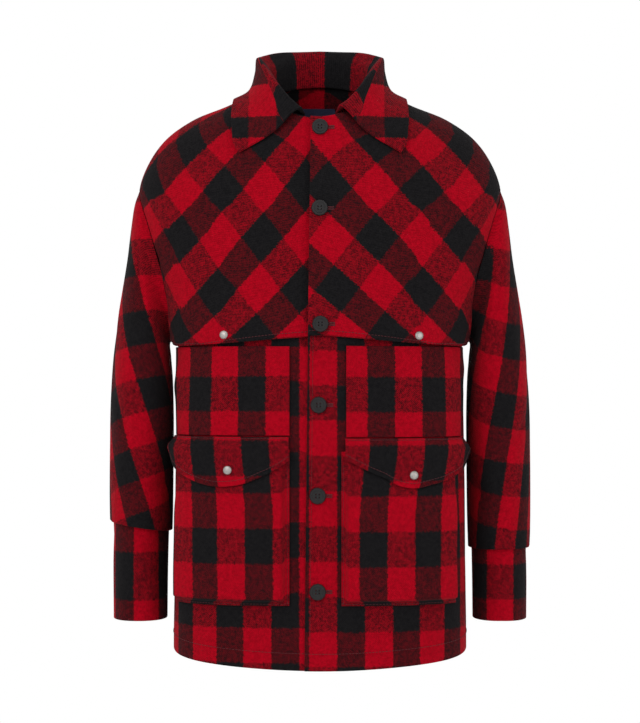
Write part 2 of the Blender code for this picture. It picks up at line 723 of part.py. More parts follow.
def snap(collection, name, matrix, look, sides=12):
    """A domed metal cap."""
    profile = [(0.0, 0.0), (1.0, 0.0), (1.0, 0.25), (0.86, 0.62), (0.52, 0.92), (0.0, 1.0)]
    bm = bmesh.new()
    rings = []
    for r, z in profile:
        if r == 0.0:
            rings.append([bm.verts.new((0, 0, z * SNAP_HEIGHT))])
            continue
        turns = [2 * math.pi * k / sides for k in range(sides)]
        rings.append(
            [
                bm.verts.new((SNAP_RADIUS * r * math.cos(t), SNAP_RADIUS * r * math.sin(t), z * SNAP_HEIGHT))
                for t in turns
            ]
        )
    for low, high in zip(rings, rings[1:]):
        for k in range(sides):
            j = (k + 1) % sides
            if len(low) == 1:
                bm.faces.new((low[0], high[j], high[k]))
            elif len(high) == 1:
                bm.faces.new((low[k], low[j], high[0]))
            else:
                bm.faces.new((low[k], low[j], high[j], high[k]))
    bmesh.ops.transform(bm, matrix=matrix, verts=bm.verts)
    mesh = bpy.data.meshes.new(name)
    bm.to_mesh(mesh)
    bm.free()
    mesh.materials.append(look)
    made = bpy.data.objects.new(name, mesh)
    collection.objects.link(made)
    return made


def button_lift(x, z):
    """The cape lies on the front above its free edge, so a button there sits higher."""
    turn, climb = front_place(np.array(x), np.array(z))
    on_cape = float(climb) > float(cape_edge(turn)) - BUTTON_RADIUS
    return (float(cape_lift(turn, climb)) if on_cape else 0.0) + WALL / 2 + SEAM_GAP + 0.0004


def main():
    collection = start()
    looks = {
        key: material(f"wool_{key}", CLOTH_RED, 0.0, 0.95)
        for key in (
            "front_right", "front_left", "back", "cape_front_right", "cape_front_left", "cape_back",
            "sleeve_right", "sleeve_left", "oversleeve_right", "oversleeve_left", "collar",
            "upper_patch_right", "upper_patch_left", "pocket_right", "pocket_left",
            "pocket_flap_right", "pocket_flap_left",
        )
    }
    for side in ("right", "left"):
        turned = slice(None, None, -1) if side == "right" else slice(None)
        pieces = {
            f"front_{side}": front_points(side),
            f"cape_front_{side}": cape_front_points(side),
            f"upper_patch_{side}": upper_patch_points(side),
            f"pocket_{side}": pocket_points(side),
            f"pocket_flap_{side}": flap_points(side),
        }
        for name, points in pieces.items():
            add_cloth(collection, name, points[:, turned], looks[name])
        for layer in ("sleeve", "oversleeve"):
            points = sleeve_points(side, layer)
            turned = slice(None, None, -1) if side == "left" else slice(None)
            name = f"{layer}_{side}"
            add_cloth(collection, name, points[:, turned], looks[name], closed=True)
    add_cloth(collection, "back", back_points(), looks["back"])
    add_cloth(collection, "cape_back", cape_back_points(), looks["cape_back"])
    add_cloth(collection, "collar", collar_points(), looks["collar"], COLLAR_WALL)
    add_cloth(collection, "neck_label", label_points(), material("label_tape", NAVY), LABEL_WALL)
    for number, (x, z) in enumerate(BUTTONS, 1):
        lift = button_lift(x, z)
        matrix = seat(lambda more, x=x, z=z: on_front("left", x, z, more), lift)
        name = f"button_{number}"
        disc(collection, name, BUTTON_RADIUS, BUTTON_THICK, matrix, material(name, HORN, 0.0, 0.35), True)
    for name, (kind, side, x, z) in SNAPS.items():
        if kind == "cape":
            lift = float(cape_lift(*front_place(x, z)))
        else:
            lift = float(flap_lift(side, x, z))
        lift += WALL / 2 + SEAM_GAP + (0.0001 if kind == "cape" else 0.0007)
        matrix = seat(lambda more, x=x, z=z, side=side: on_front(side, x, z, more), lift)
        snap(collection, name, matrix, material(name, METAL, 1.0, 0.3))


main()
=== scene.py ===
"""Looks of the wool jacket: woven check cloth in thin shells, sewing, stage, light and camera.

The shapes follow the same tables as the solids. Metres, +Z up, the front faces -Y, and the
wearer's left is at +X. A place on the torso is its turn round the body (0 at the centre front,
90 degrees at the wearer's left side) and its climb, the distance up the side from the hem. A
place on a sleeve is its turn round the arm (0 on top, 90 at the front) and its reach from the
armhole.
"""

import math

import bpy
import numpy as np
from mathutils import Matrix, Vector


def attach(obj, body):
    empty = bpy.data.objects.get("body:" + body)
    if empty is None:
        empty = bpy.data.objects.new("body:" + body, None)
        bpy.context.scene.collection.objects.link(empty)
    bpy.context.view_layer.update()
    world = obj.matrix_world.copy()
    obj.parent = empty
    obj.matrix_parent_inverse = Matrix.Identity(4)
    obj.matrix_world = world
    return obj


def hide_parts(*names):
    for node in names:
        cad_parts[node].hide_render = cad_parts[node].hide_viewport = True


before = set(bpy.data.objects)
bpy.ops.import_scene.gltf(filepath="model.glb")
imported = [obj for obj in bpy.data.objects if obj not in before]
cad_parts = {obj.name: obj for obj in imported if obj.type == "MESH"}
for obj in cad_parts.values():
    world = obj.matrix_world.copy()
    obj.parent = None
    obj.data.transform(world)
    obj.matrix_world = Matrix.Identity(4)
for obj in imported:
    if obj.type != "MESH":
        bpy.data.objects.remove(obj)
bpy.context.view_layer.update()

# The cloth, in metres.
WALL = 0.0024  # the wool
COLLAR_WALL = 0.0030  # two layers pressed flat
SEAM_GAP = 0.0003  # between pieces that are sewn together
LAYER = WALL + SEAM_GAP  # from the middle of one layer to the next that lies on it
CAPE_TOP_LIFT = 0.0032  # the cape over the panel below it, at the neck
CAPE_EDGE_LIFT = 0.0054  # and at its free edge
CAPE_PATCH_LIFT = 0.0032  # more, where the upper patch goes under the cape
PATCH_LIFT = 0.0040  # a patch over its front

# The torso, a ring a row from the hem to the neck. Heights at the side, front and back of the
# ring, its half width, its depth to the front and to the back, and how square each half is.
TORSO = np.array(
    [
        # side_z front_z  back_z  wide    front   back    square_front square_back
        [-0.7480, -0.7670, -0.7560, 0.1908, 0.1420, 0.1380, 3.40, 2.50],
        [-0.6900, -0.6960, -0.6920, 0.1905, 0.1430, 0.1380, 3.40, 2.50],
        [-0.6000, -0.6040, -0.6010, 0.1895, 0.1430, 0.1360, 3.50, 2.50],
        [-0.5000, -0.5030, -0.5000, 0.1880, 0.1400, 0.1320, 3.50, 2.50],
        [-0.4200, -0.4230, -0.4200, 0.1868, 0.1350, 0.1290, 3.30, 2.45],
        [-0.3520, -0.3580, -0.3500, 0.1862, 0.1300, 0.1290, 3.00, 2.40],
        [-0.3000, -0.3100, -0.2960, 0.1985, 0.1260, 0.1300, 2.70, 2.30],
        [-0.2350, -0.2500, -0.2290, 0.2195, 0.1200, 0.1300, 2.45, 2.20],
        [-0.1900, -0.2160, -0.1840, 0.2305, 0.1150, 0.1270, 2.30, 2.15],
        [-0.1500, -0.1850, -0.1450, 0.2345, 0.1100, 0.1220, 2.20, 2.10],
        [-0.1160, -0.1570, -0.1110, 0.2225, 0.1040, 0.1165, 2.10, 2.05],
        [-0.0880, -0.1340, -0.0820, 0.2030, 0.0990, 0.1120, 2.00, 2.00],
        [-0.0620, -0.1110, -0.0540, 0.1680, 0.0950, 0.1060, 2.00, 2.00],
        [-0.0420, -0.0900, -0.0300, 0.1200, 0.0920, 0.0970, 2.00, 2.00],
        [-0.0210, -0.0640, -0.0030, 0.0760, 0.0870, 0.0860, 2.00, 2.00],
    ]
)
ARMPIT_ROW = 5
SHOULDER_ROW = 9
ARMHOLE_FRONT_TURN = 24.0  # degrees that the armhole is cut forward of the side
ARMHOLE_BACK_TURN = 24.0

# How far past the centre front each front reaches, in metres, at the neck and at the hem.
OVERLAP_TOP = 0.0110
OVERLAP_HEM = 0.0195
OVERLAP_UNDER = 0.0180

# The free edge of the cape: height at the centre front, at mid front, at the side, at the back.
CAPE_EDGE = {"centre": -0.3440, "front": -0.3545, "side": -0.3430, "back": -0.3560}

# The outside of the over-sleeve, a row down the arm. The line of its outer side, the line of
# its inner side beside the torso, half its depth, and the middle of that depth.
SLEEVE = np.array(
    [
        # outer_x outer_z  inner_x  inner_z  depth   middle_y
        [0.2465, -0.1750, 0.1940, -0.3470, 0.0570, 0.0030],
        [0.2500, -0.2020, 0.1985, -0.3510, 0.0620, 0.0020],
        [0.2545, -0.2400, 0.1975, -0.3720, 0.0665, 0.0010],
        [0.2610, -0.2810, 0.1955, -0.3960, 0.0700, 0.0000],
        [0.2665, -0.3150, 0.1945, -0.4180, 0.0710, -0.0010],
        [0.2722, -0.3610, 0.1938, -0.4480, 0.0710, -0.0020],
        [0.2762, -0.4270, 0.1938, -0.4900, 0.0690, -0.0040],
        [0.2772, -0.4900, 0.1940, -0.5350, 0.0660, -0.0060],
        [0.2775, -0.5500, 0.1945, -0.5800, 0.0630, -0.0080],
        [0.2772, -0.6000, 0.1955, -0.6180, 0.0600, -0.0100],
        [0.2768, -0.6500, 0.1962, -0.6600, 0.0570, -0.0120],
        [0.2762, -0.7130, 0.1966, -0.7130, 0.0540, -0.0140],
    ]
)
SLEEVE_POWER = 2.15
SLEEVE_STEP = 0.0046  # from the over-sleeve in to the sleeve
ARMHOLE_DEEPER = 0.0012  # how much nearer the body the sleeve starts than the over-sleeve
# Height of the free end of each over-sleeve, on its outer and its inner side.
OVERSLEEVE_END = {"right": (-0.5850, -0.5980), "left": (-0.6190, -0.6200)}

# The collar, a row from the centre back to its front end on one side. The turn of the seam,
# the height of the stand, how far the stand leans out, and where the edge of the fall lies on
# the torso: its turn and its distance down from the neck.
COLLAR = np.array(
    [
        # seam   stand    lean     edge    down
        [180.0, 0.0500, 0.0080, 180.0, 0.0520],
        [160.0, 0.0490, 0.0080, 160.0, 0.0520],
        [140.0, 0.0470, 0.0070, 140.0, 0.0500],
        [115.0, 0.0440, 0.0040, 114.0, 0.0460],
        [90.0, 0.0390, -0.0010, 86.0, 0.0390],
        [65.0, 0.0310, -0.0030, 66.0, 0.0520],
        [42.0, 0.0205, -0.0020, 48.0, 0.0820],
        [27.0, 0.0115, 0.0000, 38.0, 0.1120],
        [16.0, 0.0058, 0.0010, 32.5, 0.1270],
    ]
)

# Patches on each front, in metres across from the centre front and down from the origin.
# The corners of a patch run clockwise in the photo, from its upper corner by the centre front.
UPPER_PATCH = {
    "right": {"near": -0.0385, "far": -0.1830, "top": -0.3570, "low": -0.4700},
    "left": {"near": 0.0330, "far": 0.1810, "top": -0.3570, "low": -0.4722},
}
POCKET = {
    "right": {"near": -0.0385, "far": -0.1790, "top": -0.4875, "low": -0.6840},
    "left": {"near": 0.0270, "far": 0.1700, "top": -0.4900, "low": -0.6840},
}
POCKET_PROUD = 0.0150  # how far the face of a pocket stands off the front
POCKET_MOUTH_PROUD = 0.0062
POCKET_FLANGE = 0.0060
POCKET_GUSSET = 0.0045
FLAP_FLARE = 0.0040
# The flap: height of its seam, then its edge from near to far as (across, down).
FLAP = {
    "right": {
        "seam": -0.4714,
        "edge": (
            (-0.0395, -0.5025), (-0.0560, -0.5135), (-0.0750, -0.5225), (-0.0940, -0.5305),
            (-0.1130, -0.5340), (-0.1320, -0.5340), (-0.1510, -0.5285), (-0.1680, -0.5185),
            (-0.1790, -0.5055), (-0.1840, -0.4885),
        ),
    },
    "left": {
        "seam": -0.4735,
        "edge": (
            (0.0320, -0.5005), (0.0480, -0.5085), (0.0640, -0.5165), (0.0800, -0.5235),
            (0.0980, -0.5335), (0.1160, -0.5365), (0.1350, -0.5325), (0.1540, -0.5265),
            (0.1710, -0.5145), (0.1810, -0.4945),
        ),
    },
}

# Buttons down the centre front, as (across, height).
BUTTONS = (
    (0.0000, -0.0785), (-0.0005, -0.1836), (0.0005, -0.3300),
    (-0.0018, -0.4314), (-0.0030, -0.5457), (-0.0030, -0.6664),
)
BUTTON_RADIUS = 0.0108
BUTTON_THICK = 0.0034
BUTTON_HOLE_OUT = 0.0026


# The check, in metres: how wide a column of warp and how tall a row of weft is.
COLUMN = 0.0355
ROW = 0.0445
CAMERA_AWAY = 3.0
CAMERA_HEIGHT = -0.376
PICTURE_WIDE, PICTURE_TALL = 640, 723
PIXEL = 0.001325  # metres to a pixel, in the plane through the origin

# Where a black column starts, going to the wearer's left, and a black row, going down.
GRAIN = {
    "front_right": (-0.0614, -0.6680),
    "front_left": (0.0215, -0.6730),
    "upper_patch_right": (-0.1043, -0.3943),
    "pocket_flap_right": (-0.1002, -0.4762),
    "pocket_right": (-0.0999, -0.5800),
    "upper_patch_left": (0.0600, -0.3956),
    "pocket_flap_left": (0.0630, -0.4825),
    "pocket_left": (0.0553, -0.5840),
    "back": (-0.0178, -0.6680),
}

# Each row is the middle of one cell: its place in the picture, across and down, then its
# column and its row in the weave.
CAPE_CHART = {
    "right": (
        (222, 187, 0, 0), (187, 145, -2, 0), (260, 235, 2, 0), (300, 293, 4, 0),
        (270, 143, 0, -2), (302, 185, 2, -2), (181, 240, 0, 2), (218, 292, 2, 2),
        (252, 338, 4, 2), (152, 190, -2, 2), (177, 328, 2, 4), (225, 145, -1, -1),
        (265, 187, 1, -1), (185, 193, -1, 1), (219, 240, 1, 1), (180, 288, 1, 3),
        (302, 235, 3, -1), (255, 293, 3, 1), (215, 335, 3, 3), (300, 335, 5, 1),
    ),
    "left": (
        (420, 187, 0, 0), (370, 145, 0, -2), (380, 235, 2, 0), (340, 290, 4, 0),
        (325, 183, 2, -2), (462, 242, 0, 2), (423, 293, 2, 2), (387, 338, 4, 2),
        (463, 147, -2, 0), (413, 108, -2, -2), (460, 325, 2, 4), (420, 143, -1, -1),
        (330, 143, 1, -3), (373, 187, 1, -1), (460, 195, -1, 1), (338, 232, 3, -1),
        (420, 237, 1, 1), (460, 292, 1, 3), (387, 293, 3, 1), (430, 335, 3, 3),
        (335, 335, 5, 1),
    ),
}
OVERSLEEVE_CHART = {
    "right": (
        (129, 261, 0, 0), (125, 294, 0, 1), (155, 293, 1, 1), (137, 329, 0, 2),
        (123, 366, -1, 3), (158, 391, 0, 4), (127, 397, -1, 4), (139, 429, -1, 5),
        (123, 468, -2, 6), (145, 462, -1, 6), (157, 493, -1, 7), (135, 503, -2, 7),
        (116, 508, -3, 7), (140, 520, -2, 8),
    ),
    "left": (
        (504, 235, -1, -1), (499, 273, -1, 0), (497, 309, -1, 1), (492, 341, -1, 2),
        (513, 345, 0, 2), (485, 375, -1, 3), (507, 378, 0, 3), (502, 412, 0, 4),
        (517, 412, 1, 4), (497, 447, 0, 5), (515, 452, 1, 5), (487, 481, 0, 6),
        (512, 482, 1, 6), (509, 519, 1, 7), (502, 542, 1, 8),
    ),
}
# The cuffs: where a black column starts, from the front line of the sleeve to the wearer's left,
# then the heights at which rows -1, 0, 1 and 2 start.
CUFF = {
    "right": (-0.0405, (-0.5784, -0.6229, -0.6864, -0.7310)),
    "left": (0.0116, (-0.5950, -0.6397, -0.6851, -0.7300)),
}
# The collar: the heights at which the columns -2 to 2 of its fall end, and how far from the middle
# its rows 0 to 3 start. Behind the shoulder the rows go on evenly, to half of this row at the back.
COLLAR_COLUMN_HEIGHTS = (0.0243, -0.0157, -0.0605, -0.0886, -0.1240)
COLLAR_ROW_PLACES = {"right": (0.0155, 0.0557, 0.0920, 0.1365), "left": (0.0095, 0.0460, 0.0826, 0.1271)}
COLLAR_ROW_AT_BACK = 5.5
STAND_COLUMN_START = 0.0060  # on the inside of the stand, to the wearer's left of the centre back
STAND_COLUMN = 0.0395

# Creases on the torso: turn and climb of the middle, length, width, depth, and the slant from
# upright in degrees. A minus depth is a ridge.
TORSO_CREASES = (
    # turn climb length width depth slant
    (-31.0, 0.300, 0.150, 0.016, 0.0016, 14.0),
    (-58.0, 0.220, 0.240, 0.022, 0.0026, -8.0),
    (-72.0, 0.120, 0.200, 0.020, 0.0022, 6.0),
    (-14.0, 0.120, 0.160, 0.018, 0.0012, -10.0),
    (-64.0, 0.350, 0.120, 0.018, -0.0018, 30.0),
    (27.0, 0.290, 0.130, 0.015, 0.0014, -12.0),
    (55.0, 0.200, 0.260, 0.022, 0.0025, 9.0),
    (74.0, 0.130, 0.190, 0.020, 0.0020, -7.0),
    (38.0, 0.060, 0.110, 0.018, 0.0013, 12.0),
    (66.0, 0.360, 0.110, 0.018, -0.0017, -28.0),
    (-60.0, 0.520, 0.100, 0.020, 0.0018, 58.0),
    (58.0, 0.510, 0.110, 0.020, 0.0020, -55.0),
    (-42.0, 0.590, 0.090, 0.018, 0.0012, 40.0),
    (44.0, 0.600, 0.080, 0.018, 0.0012, -44.0),
    (150.0, 0.180, 0.260, 0.024, 0.0026, 5.0),
    (196.0, 0.220, 0.230, 0.024, 0.0022, -8.0),
    (228.0, 0.160, 0.240, 0.022, 0.0024, 9.0),
    (124.0, 0.260, 0.180, 0.020, 0.0020, -12.0),
    (174.0, 0.480, 0.110, 0.022, 0.0016, 62.0),
    (138.0, 0.550, 0.100, 0.020, 0.0016, -38.0),
    (222.0, 0.540, 0.120, 0.020, 0.0018, 42.0),
)
# Creases on the sleeves: turn round the arm, reach down it, length, width, depth, and slant.
SLEEVE_CREASES = {
    "right": (
        (70.0, 0.060, 0.080, 0.014, 0.0022, 34.0),
        (110.0, 0.130, 0.090, 0.014, 0.0020, -30.0),
        (60.0, 0.235, 0.110, 0.015, 0.0022, 52.0),
        (120.0, 0.300, 0.120, 0.015, 0.0022, -58.0),
        (80.0, 0.360, 0.100, 0.014, 0.0018, 64.0),
        (95.0, 0.455, 0.090, 0.014, 0.0015, -40.0),
        (250.0, 0.200, 0.130, 0.016, 0.0022, 48.0),
        (290.0, 0.330, 0.120, 0.016, 0.0022, -52.0),
        (265.0, 0.430, 0.100, 0.015, 0.0018, 38.0),
        (20.0, 0.180, 0.110, 0.018, 0.0016, 18.0),
        (10.0, 0.380, 0.130, 0.018, 0.0016, -22.0),
    ),
    "left": (
        (75.0, 0.070, 0.080, 0.014, 0.0020, 30.0),
        (105.0, 0.160, 0.100, 0.014, 0.0022, -36.0),
        (65.0, 0.260, 0.110, 0.015, 0.0022, 55.0),
        (115.0, 0.320, 0.110, 0.015, 0.0024, -54.0),
        (85.0, 0.390, 0.100, 0.014, 0.0018, 60.0),
        (100.0, 0.470, 0.080, 0.014, 0.0014, -35.0),
        (245.0, 0.230, 0.120, 0.016, 0.0022, 44.0),
        (285.0, 0.350, 0.130, 0.016, 0.0020, -50.0),
        (260.0, 0.450, 0.090, 0.015, 0.0016, 36.0),
        (15.0, 0.210, 0.120, 0.018, 0.0016, 20.0),
        (5.0, 0.410, 0.120, 0.018, 0.0015, -24.0),
    ),
}
DEGREE_OF_TORSO = 0.0026  # metres
DEGREE_OF_SLEEVE = 0.0009

# Wool colours, low and high in the nap, as linear light.
CLOTH = {
    "bright": ((0.200, 0.0006, 0.0052), (0.345, 0.0010, 0.0090)),
    "medium": ((0.034, 0.0020, 0.0036), (0.225, 0.0024, 0.0075)),
    "maroon": ((0.012, 0.0034, 0.0042), (0.088, 0.0036, 0.0060)),
    "black": ((0.0046, 0.0044, 0.0050), (0.0092, 0.0086, 0.0092)),
}
THREAD_WIDE = 0.0007
STITCH = 0.0032
STITCH_STEP = 0.0042
EDGE_SEAM = 0.0065  # from an edge in to its stitches

# What is cut for each piece, flat: its width and length and its area, how it is held, and on what.
CUTS = {
    "front_right": (0.307, 0.860, 0.206, "draped", ()),
    "front_left": (0.307, 0.860, 0.206, "draped", ("front_right",)),
    "back": (0.578, 0.865, 0.384, "draped", ()),
    "cape_front_right": (0.309, 0.451, 0.086, "draped", ("front_right",)),
    "cape_front_left": (0.306, 0.450, 0.086, "draped", ("front_left",)),
    "cape_back": (0.588, 0.456, 0.178, "draped", ("back",)),
    "sleeve_right": (0.465, 0.560, 0.145, "draped", ()),
    "sleeve_left": (0.465, 0.560, 0.145, "draped", ()),
    "oversleeve_right": (0.490, 0.438, 0.121, "draped", ("sleeve_right",)),
    "oversleeve_left": (0.490, 0.472, 0.130, "draped", ("sleeve_left",)),
    "collar": (0.609, 0.133, 0.066, "folded", ("cape_back", "cape_front_right", "cape_front_left")),
    "upper_patch_right": (0.190, 0.115, None, "draped", ("front_right",)),
    "upper_patch_left": (0.186, 0.117, None, "draped", ("front_left",)),
    "pocket_right": (0.190, 0.205, None, "draped", ("front_right",)),
    "pocket_left": (0.181, 0.203, None, "draped", ("front_left",)),
    "pocket_flap_right": (0.218, 0.065, 0.0100, "draped", ("pocket_right",)),
    "pocket_flap_left": (0.211, 0.065, 0.0095, "draped", ("pocket_left",)),
}


def smoothstep(value, low, high):
    """0 below low, 1 above high, and a soft step between."""
    u = np.clip((np.asarray(value, float) - low) / (high - low), 0.0, 1.0)
    return u * u * (3.0 - 2.0 * u)


def through(table, knots, at):
    """A smooth curve through the rows of a table, read at some places between its knots."""
    at = np.clip(np.asarray(at, float), knots[0], knots[-1])
    i = np.clip(np.searchsorted(knots, at, side="right") - 1, 0, len(knots) - 2)
    step = np.diff(knots)
    rise = np.diff(table, axis=0) / step[:, None]
    slope = np.empty_like(table)
    slope[0], slope[-1] = rise[0], rise[-1]
    both = (step[1:] + step[:-1])[:, None]
    slope[1:-1] = (rise[:-1] * step[1:, None] + rise[1:] * step[:-1, None]) / both
    h = step[i][..., None]
    u = ((at - knots[i]) / step[i])[..., None]
    start = table[i] * (1 + 2 * u) * (1 - u) ** 2 + slope[i] * h * u * (1 - u) ** 2
    end = table[i + 1] * u * u * (3 - 2 * u) - slope[i + 1] * h * u * u * (1 - u)
    return start + end


def lengths(points):
    """The distance along a line of points, from its start to each."""
    steps = np.linalg.norm(np.diff(points, axis=0), axis=1)
    return np.concatenate([[0.0], np.cumsum(steps)])


CLIMB = lengths(TORSO[:, [0, 3]])
NECK = CLIMB[-1]
ARMPIT = CLIMB[ARMPIT_ROW]
SHOULDER = CLIMB[SHOULDER_ROW]


def torso_bare(turn, climb):
    """The middle of the body panels, before anything is laid on them. The turn is in degrees."""
    columns = np.moveaxis(through(TORSO, CLIMB, climb), -1, 0)
    side_z, front_z, back_z, wide, front, back, square_front, square_back = columns
    sine, cosine = np.sin(np.radians(turn)), np.cos(np.radians(turn))
    ahead = cosine > 0
    square = np.where(ahead, square_front, square_back)
    fuller = (np.abs(sine) ** square + np.abs(cosine) ** square) ** (-1 / square)
    x = wide * sine * fuller
    y = -np.where(ahead, front, back) * cosine * fuller
    z = side_z * sine**2 + np.where(ahead, front_z, back_z) * cosine**2
    return np.stack([x, y, z], axis=-1)


def turn_at(x, climb):
    """The turn of the place on the front that is x across from the centre, at some climb."""
    columns = through(TORSO, CLIMB, climb)
    wide, square = columns[..., 3], columns[..., 6]
    part = np.clip(np.abs(x) / wide, 1e-6, 1.0)
    return np.sign(x) * np.degrees(np.arctan2(1.0, (part**-square - 1.0) ** (1 / square)))


def front_place(x, z):
    """The turn and climb of the place on the front that is at x and z."""
    x, z = np.broadcast_arrays(np.asarray(x, float), np.asarray(z, float))
    low, high = np.zeros(x.shape), np.full(x.shape, NECK)
    for _ in range(24):
        middle = (low + high) / 2
        below = torso_bare(turn_at(x, middle), middle)[..., 2] < z
        low, high = np.where(below, middle, low), np.where(below, high, middle)
    return turn_at(x, low), low


def climb_at(turn, z):
    """The climb at which the torso has the height z, at some turn."""
    turn, z = np.broadcast_arrays(np.asarray(turn, float), np.asarray(z, float))
    low, high = np.zeros(turn.shape), np.full(turn.shape, NECK)
    for _ in range(30):
        middle = (low + high) / 2
        below = torso_bare(turn, middle)[..., 2] < z
        low, high = np.where(below, middle, low), np.where(below, high, middle)
    return low


def armhole_turn(climb, reach):
    """Degrees that the armhole is cut back from the side, at some climb."""
    middle, half = (ARMPIT + SHOULDER) / 2, (SHOULDER - ARMPIT) / 2
    inside = 1.0 - ((climb - middle) / half) ** 2
    return reach * np.sqrt(np.maximum(inside, 0.0))


def cape_lift(turn, climb):
    """How far the cape stands off the panel that it lies on."""
    above = climb - cape_edge(turn)
    loose = 1.0 - smoothstep(above, 0.0, 0.16)
    folded = np.abs(((np.asarray(turn, float) + 180) % 360) - 180)
    on_patch = smoothstep(folded, 8.0, 15.0) * (1 - smoothstep(folded, 74.0, 86.0))
    return (
        CAPE_TOP_LIFT
        + (CAPE_EDGE_LIFT - CAPE_TOP_LIFT) * loose
        + CAPE_PATCH_LIFT * on_patch * (1.0 - smoothstep(above, 0.010, 0.060))
    )


def cape_edge(turn):
    """The climb of the free edge of the cape, at some turn."""
    turn = np.abs(((np.asarray(turn, float) + 180) % 360) - 180)
    places = np.array([0.0, 12.0, 40.0, 66.0, 84.0, 90.0, 98.0, 116.0, 145.0, 180.0])
    heights = np.array(
        [
            CAPE_EDGE["centre"], CAPE_EDGE["centre"] - 0.003, CAPE_EDGE["front"],
            CAPE_EDGE["front"], CAPE_EDGE["side"], CAPE_EDGE["side"] + 0.002,
            CAPE_EDGE["side"], CAPE_EDGE["back"], CAPE_EDGE["back"], CAPE_EDGE["back"],
        ]
    )
    return climb_at(turn, through(heights[:, None], places, turn)[..., 0])


def side_of(side):
    return 1.0 if side == "left" else -1.0


def front_lift(side, turn, climb):
    """The left front lies on the right one, and on its cape higher up."""
    if side == "right":
        return np.zeros(np.broadcast(turn, climb).shape)
    under = front_edge("right", climb) + 1.5
    over_front = 1.0 - smoothstep(turn, under, under + 30.0)
    over_cape = 1.0 - smoothstep(turn, under, under + 11.0)
    edge = cape_edge(turn)
    above = smoothstep(climb, edge - 0.030, edge - 0.006)
    return over_front * (LAYER + 0.0002) + over_cape * above * (CAPE_EDGE_LIFT + 0.0006)


def front_edge(side, climb):
    """The turn at which a front ends, past the centre."""
    down = 1.0 - climb / NECK
    if side == "left":
        return turn_at(-(OVERLAP_TOP + (OVERLAP_HEM - OVERLAP_TOP) * down), climb)
    return turn_at(np.full(np.shape(climb), OVERLAP_UNDER), climb)


def on_front(side, x, z, lift):
    """A place on a front at x and z, moved out from its middle by lift."""
    turn, climb = front_place(x, z)
    return torso(turn, climb, front_lift(side, turn, climb) + lift)


def cosine_steps(count):
    """0 to 1 in steps that are finer at both ends."""
    return (1 - np.cos(np.linspace(0, math.pi, count))) / 2


def finer_rows(rows, times):
    """The rows of a grid with each step between them cut into equal parts."""
    at = np.linspace(0, len(rows) - 1, (len(rows) - 1) * times + 1)
    low = np.minimum(at.astype(int), len(rows) - 2)
    share = (at - low).reshape((-1,) + (1,) * (rows.ndim - 1))
    return rows[low] * (1 - share) + rows[low + 1] * share


def panel_rows(times=1):
    """The climbs of the rows of a panel, finer where the armhole turns."""
    below = np.linspace(0.0, ARMPIT, 9)[:-1]
    hole = ARMPIT + (SHOULDER - ARMPIT) * cosine_steps(10)
    above = np.linspace(SHOULDER, NECK, 8)[1:]
    return finer_rows(np.concatenate([below, hole, above])[:, None], times)


def cape_rows(turn, times=1):
    """The climbs of the rows of the cape: its free edge, one above it, and those of a panel."""
    rows = panel_rows()
    above = rows[rows[:, 0] > ARMPIT + 0.020]
    edge = cape_edge(turn)
    between = (edge + above[:1]) / 2
    return finer_rows(np.concatenate([edge, between, above + 0.0 * edge]), times)


def half_gap():
    """Degrees of turn that half the gap of a side or shoulder seam takes."""
    return math.degrees(0.0004 / 0.12)


def front_turns(side, climb, share):
    """The turns of the columns of a front, from its edge at the centre to its side."""
    start_turn = front_edge(side, climb)
    hole = armhole_turn(climb, ARMHOLE_FRONT_TURN)
    end_turn = side_of(side) * (90.0 - half_gap() - hole)
    return start_turn + (end_turn - start_turn) * share


def back_turns(side, climb, share):
    start_turn = 90.0 + half_gap() + armhole_turn(climb, ARMHOLE_BACK_TURN)
    return start_turn + (360.0 - 2 * start_turn) * share


def panel_grid(turns, side, columns, times=1):
    """The turns and climbs of a grid over a front or the back."""
    climb = panel_rows(times)
    turn = turns(side, climb, np.linspace(0, 1, columns)[None, :])
    return turn, np.broadcast_to(climb, turn.shape)


def cape_grid(turns, side, columns, times=1):
    """The turns and climbs of a grid over a front or the back of the cape."""
    share = np.linspace(0, 1, columns)[None, :]
    turn = turns(side, np.full((1, 1), ARMPIT + 0.005), share)
    for _ in range(6):
        climb = cape_rows(turn[:1], times)
        turn = turns(side, climb, share)
    return turn, climb


def front_points(side, columns=15, times=1):
    """The middle of one front."""
    turn, climb = panel_grid(front_turns, side, columns, times)
    return torso(turn, climb, front_lift(side, turn, climb))


def back_points(columns=23, times=1):
    return torso(*panel_grid(back_turns, "back", columns, times), 0.0)


def cape_front_points(side, columns=15, times=1):
    turn, climb = cape_grid(front_turns, side, columns, times)
    return torso(turn, climb, front_lift(side, turn, climb) + cape_lift(turn, climb))


def cape_back_points(columns=23, times=1):
    turn, climb = cape_grid(back_turns, "back", columns, times)
    return torso(turn, climb, cape_lift(turn, climb))


def armhole_ring(turn, layer):
    """Where a sleeve is sewn in, just inside the edge that is cut in the body."""
    round_arm = np.radians(turn)
    low = 0.5 - 0.5 * np.cos(round_arm)
    inset = 0.0016 + 0.0030 * low**3
    half = (SHOULDER - ARMPIT) / 2
    climb = (ARMPIT + SHOULDER) / 2 + (half - inset) * np.cos(round_arm)
    ahead = np.sin(round_arm) > 0
    reach = np.where(ahead, ARMHOLE_FRONT_TURN, ARMHOLE_BACK_TURN) - np.degrees(inset / 0.11)
    around = 90.0 - reach * np.sin(round_arm)
    ring = torso(around, climb, cape_lift(around, climb) * (1.0 - low**6))
    if layer == "sleeve":
        middle = (ring.max(axis=0) + ring.min(axis=0)) / 2
        inward = (middle - ring) * np.array([0.0, 1.0, 1.0])
        inward /= np.linalg.norm(inward, axis=1, keepdims=True)
        ring = ring + inward * SLEEVE_STEP - np.array([ARMHOLE_DEEPER, 0.0, 0.0])
    return ring


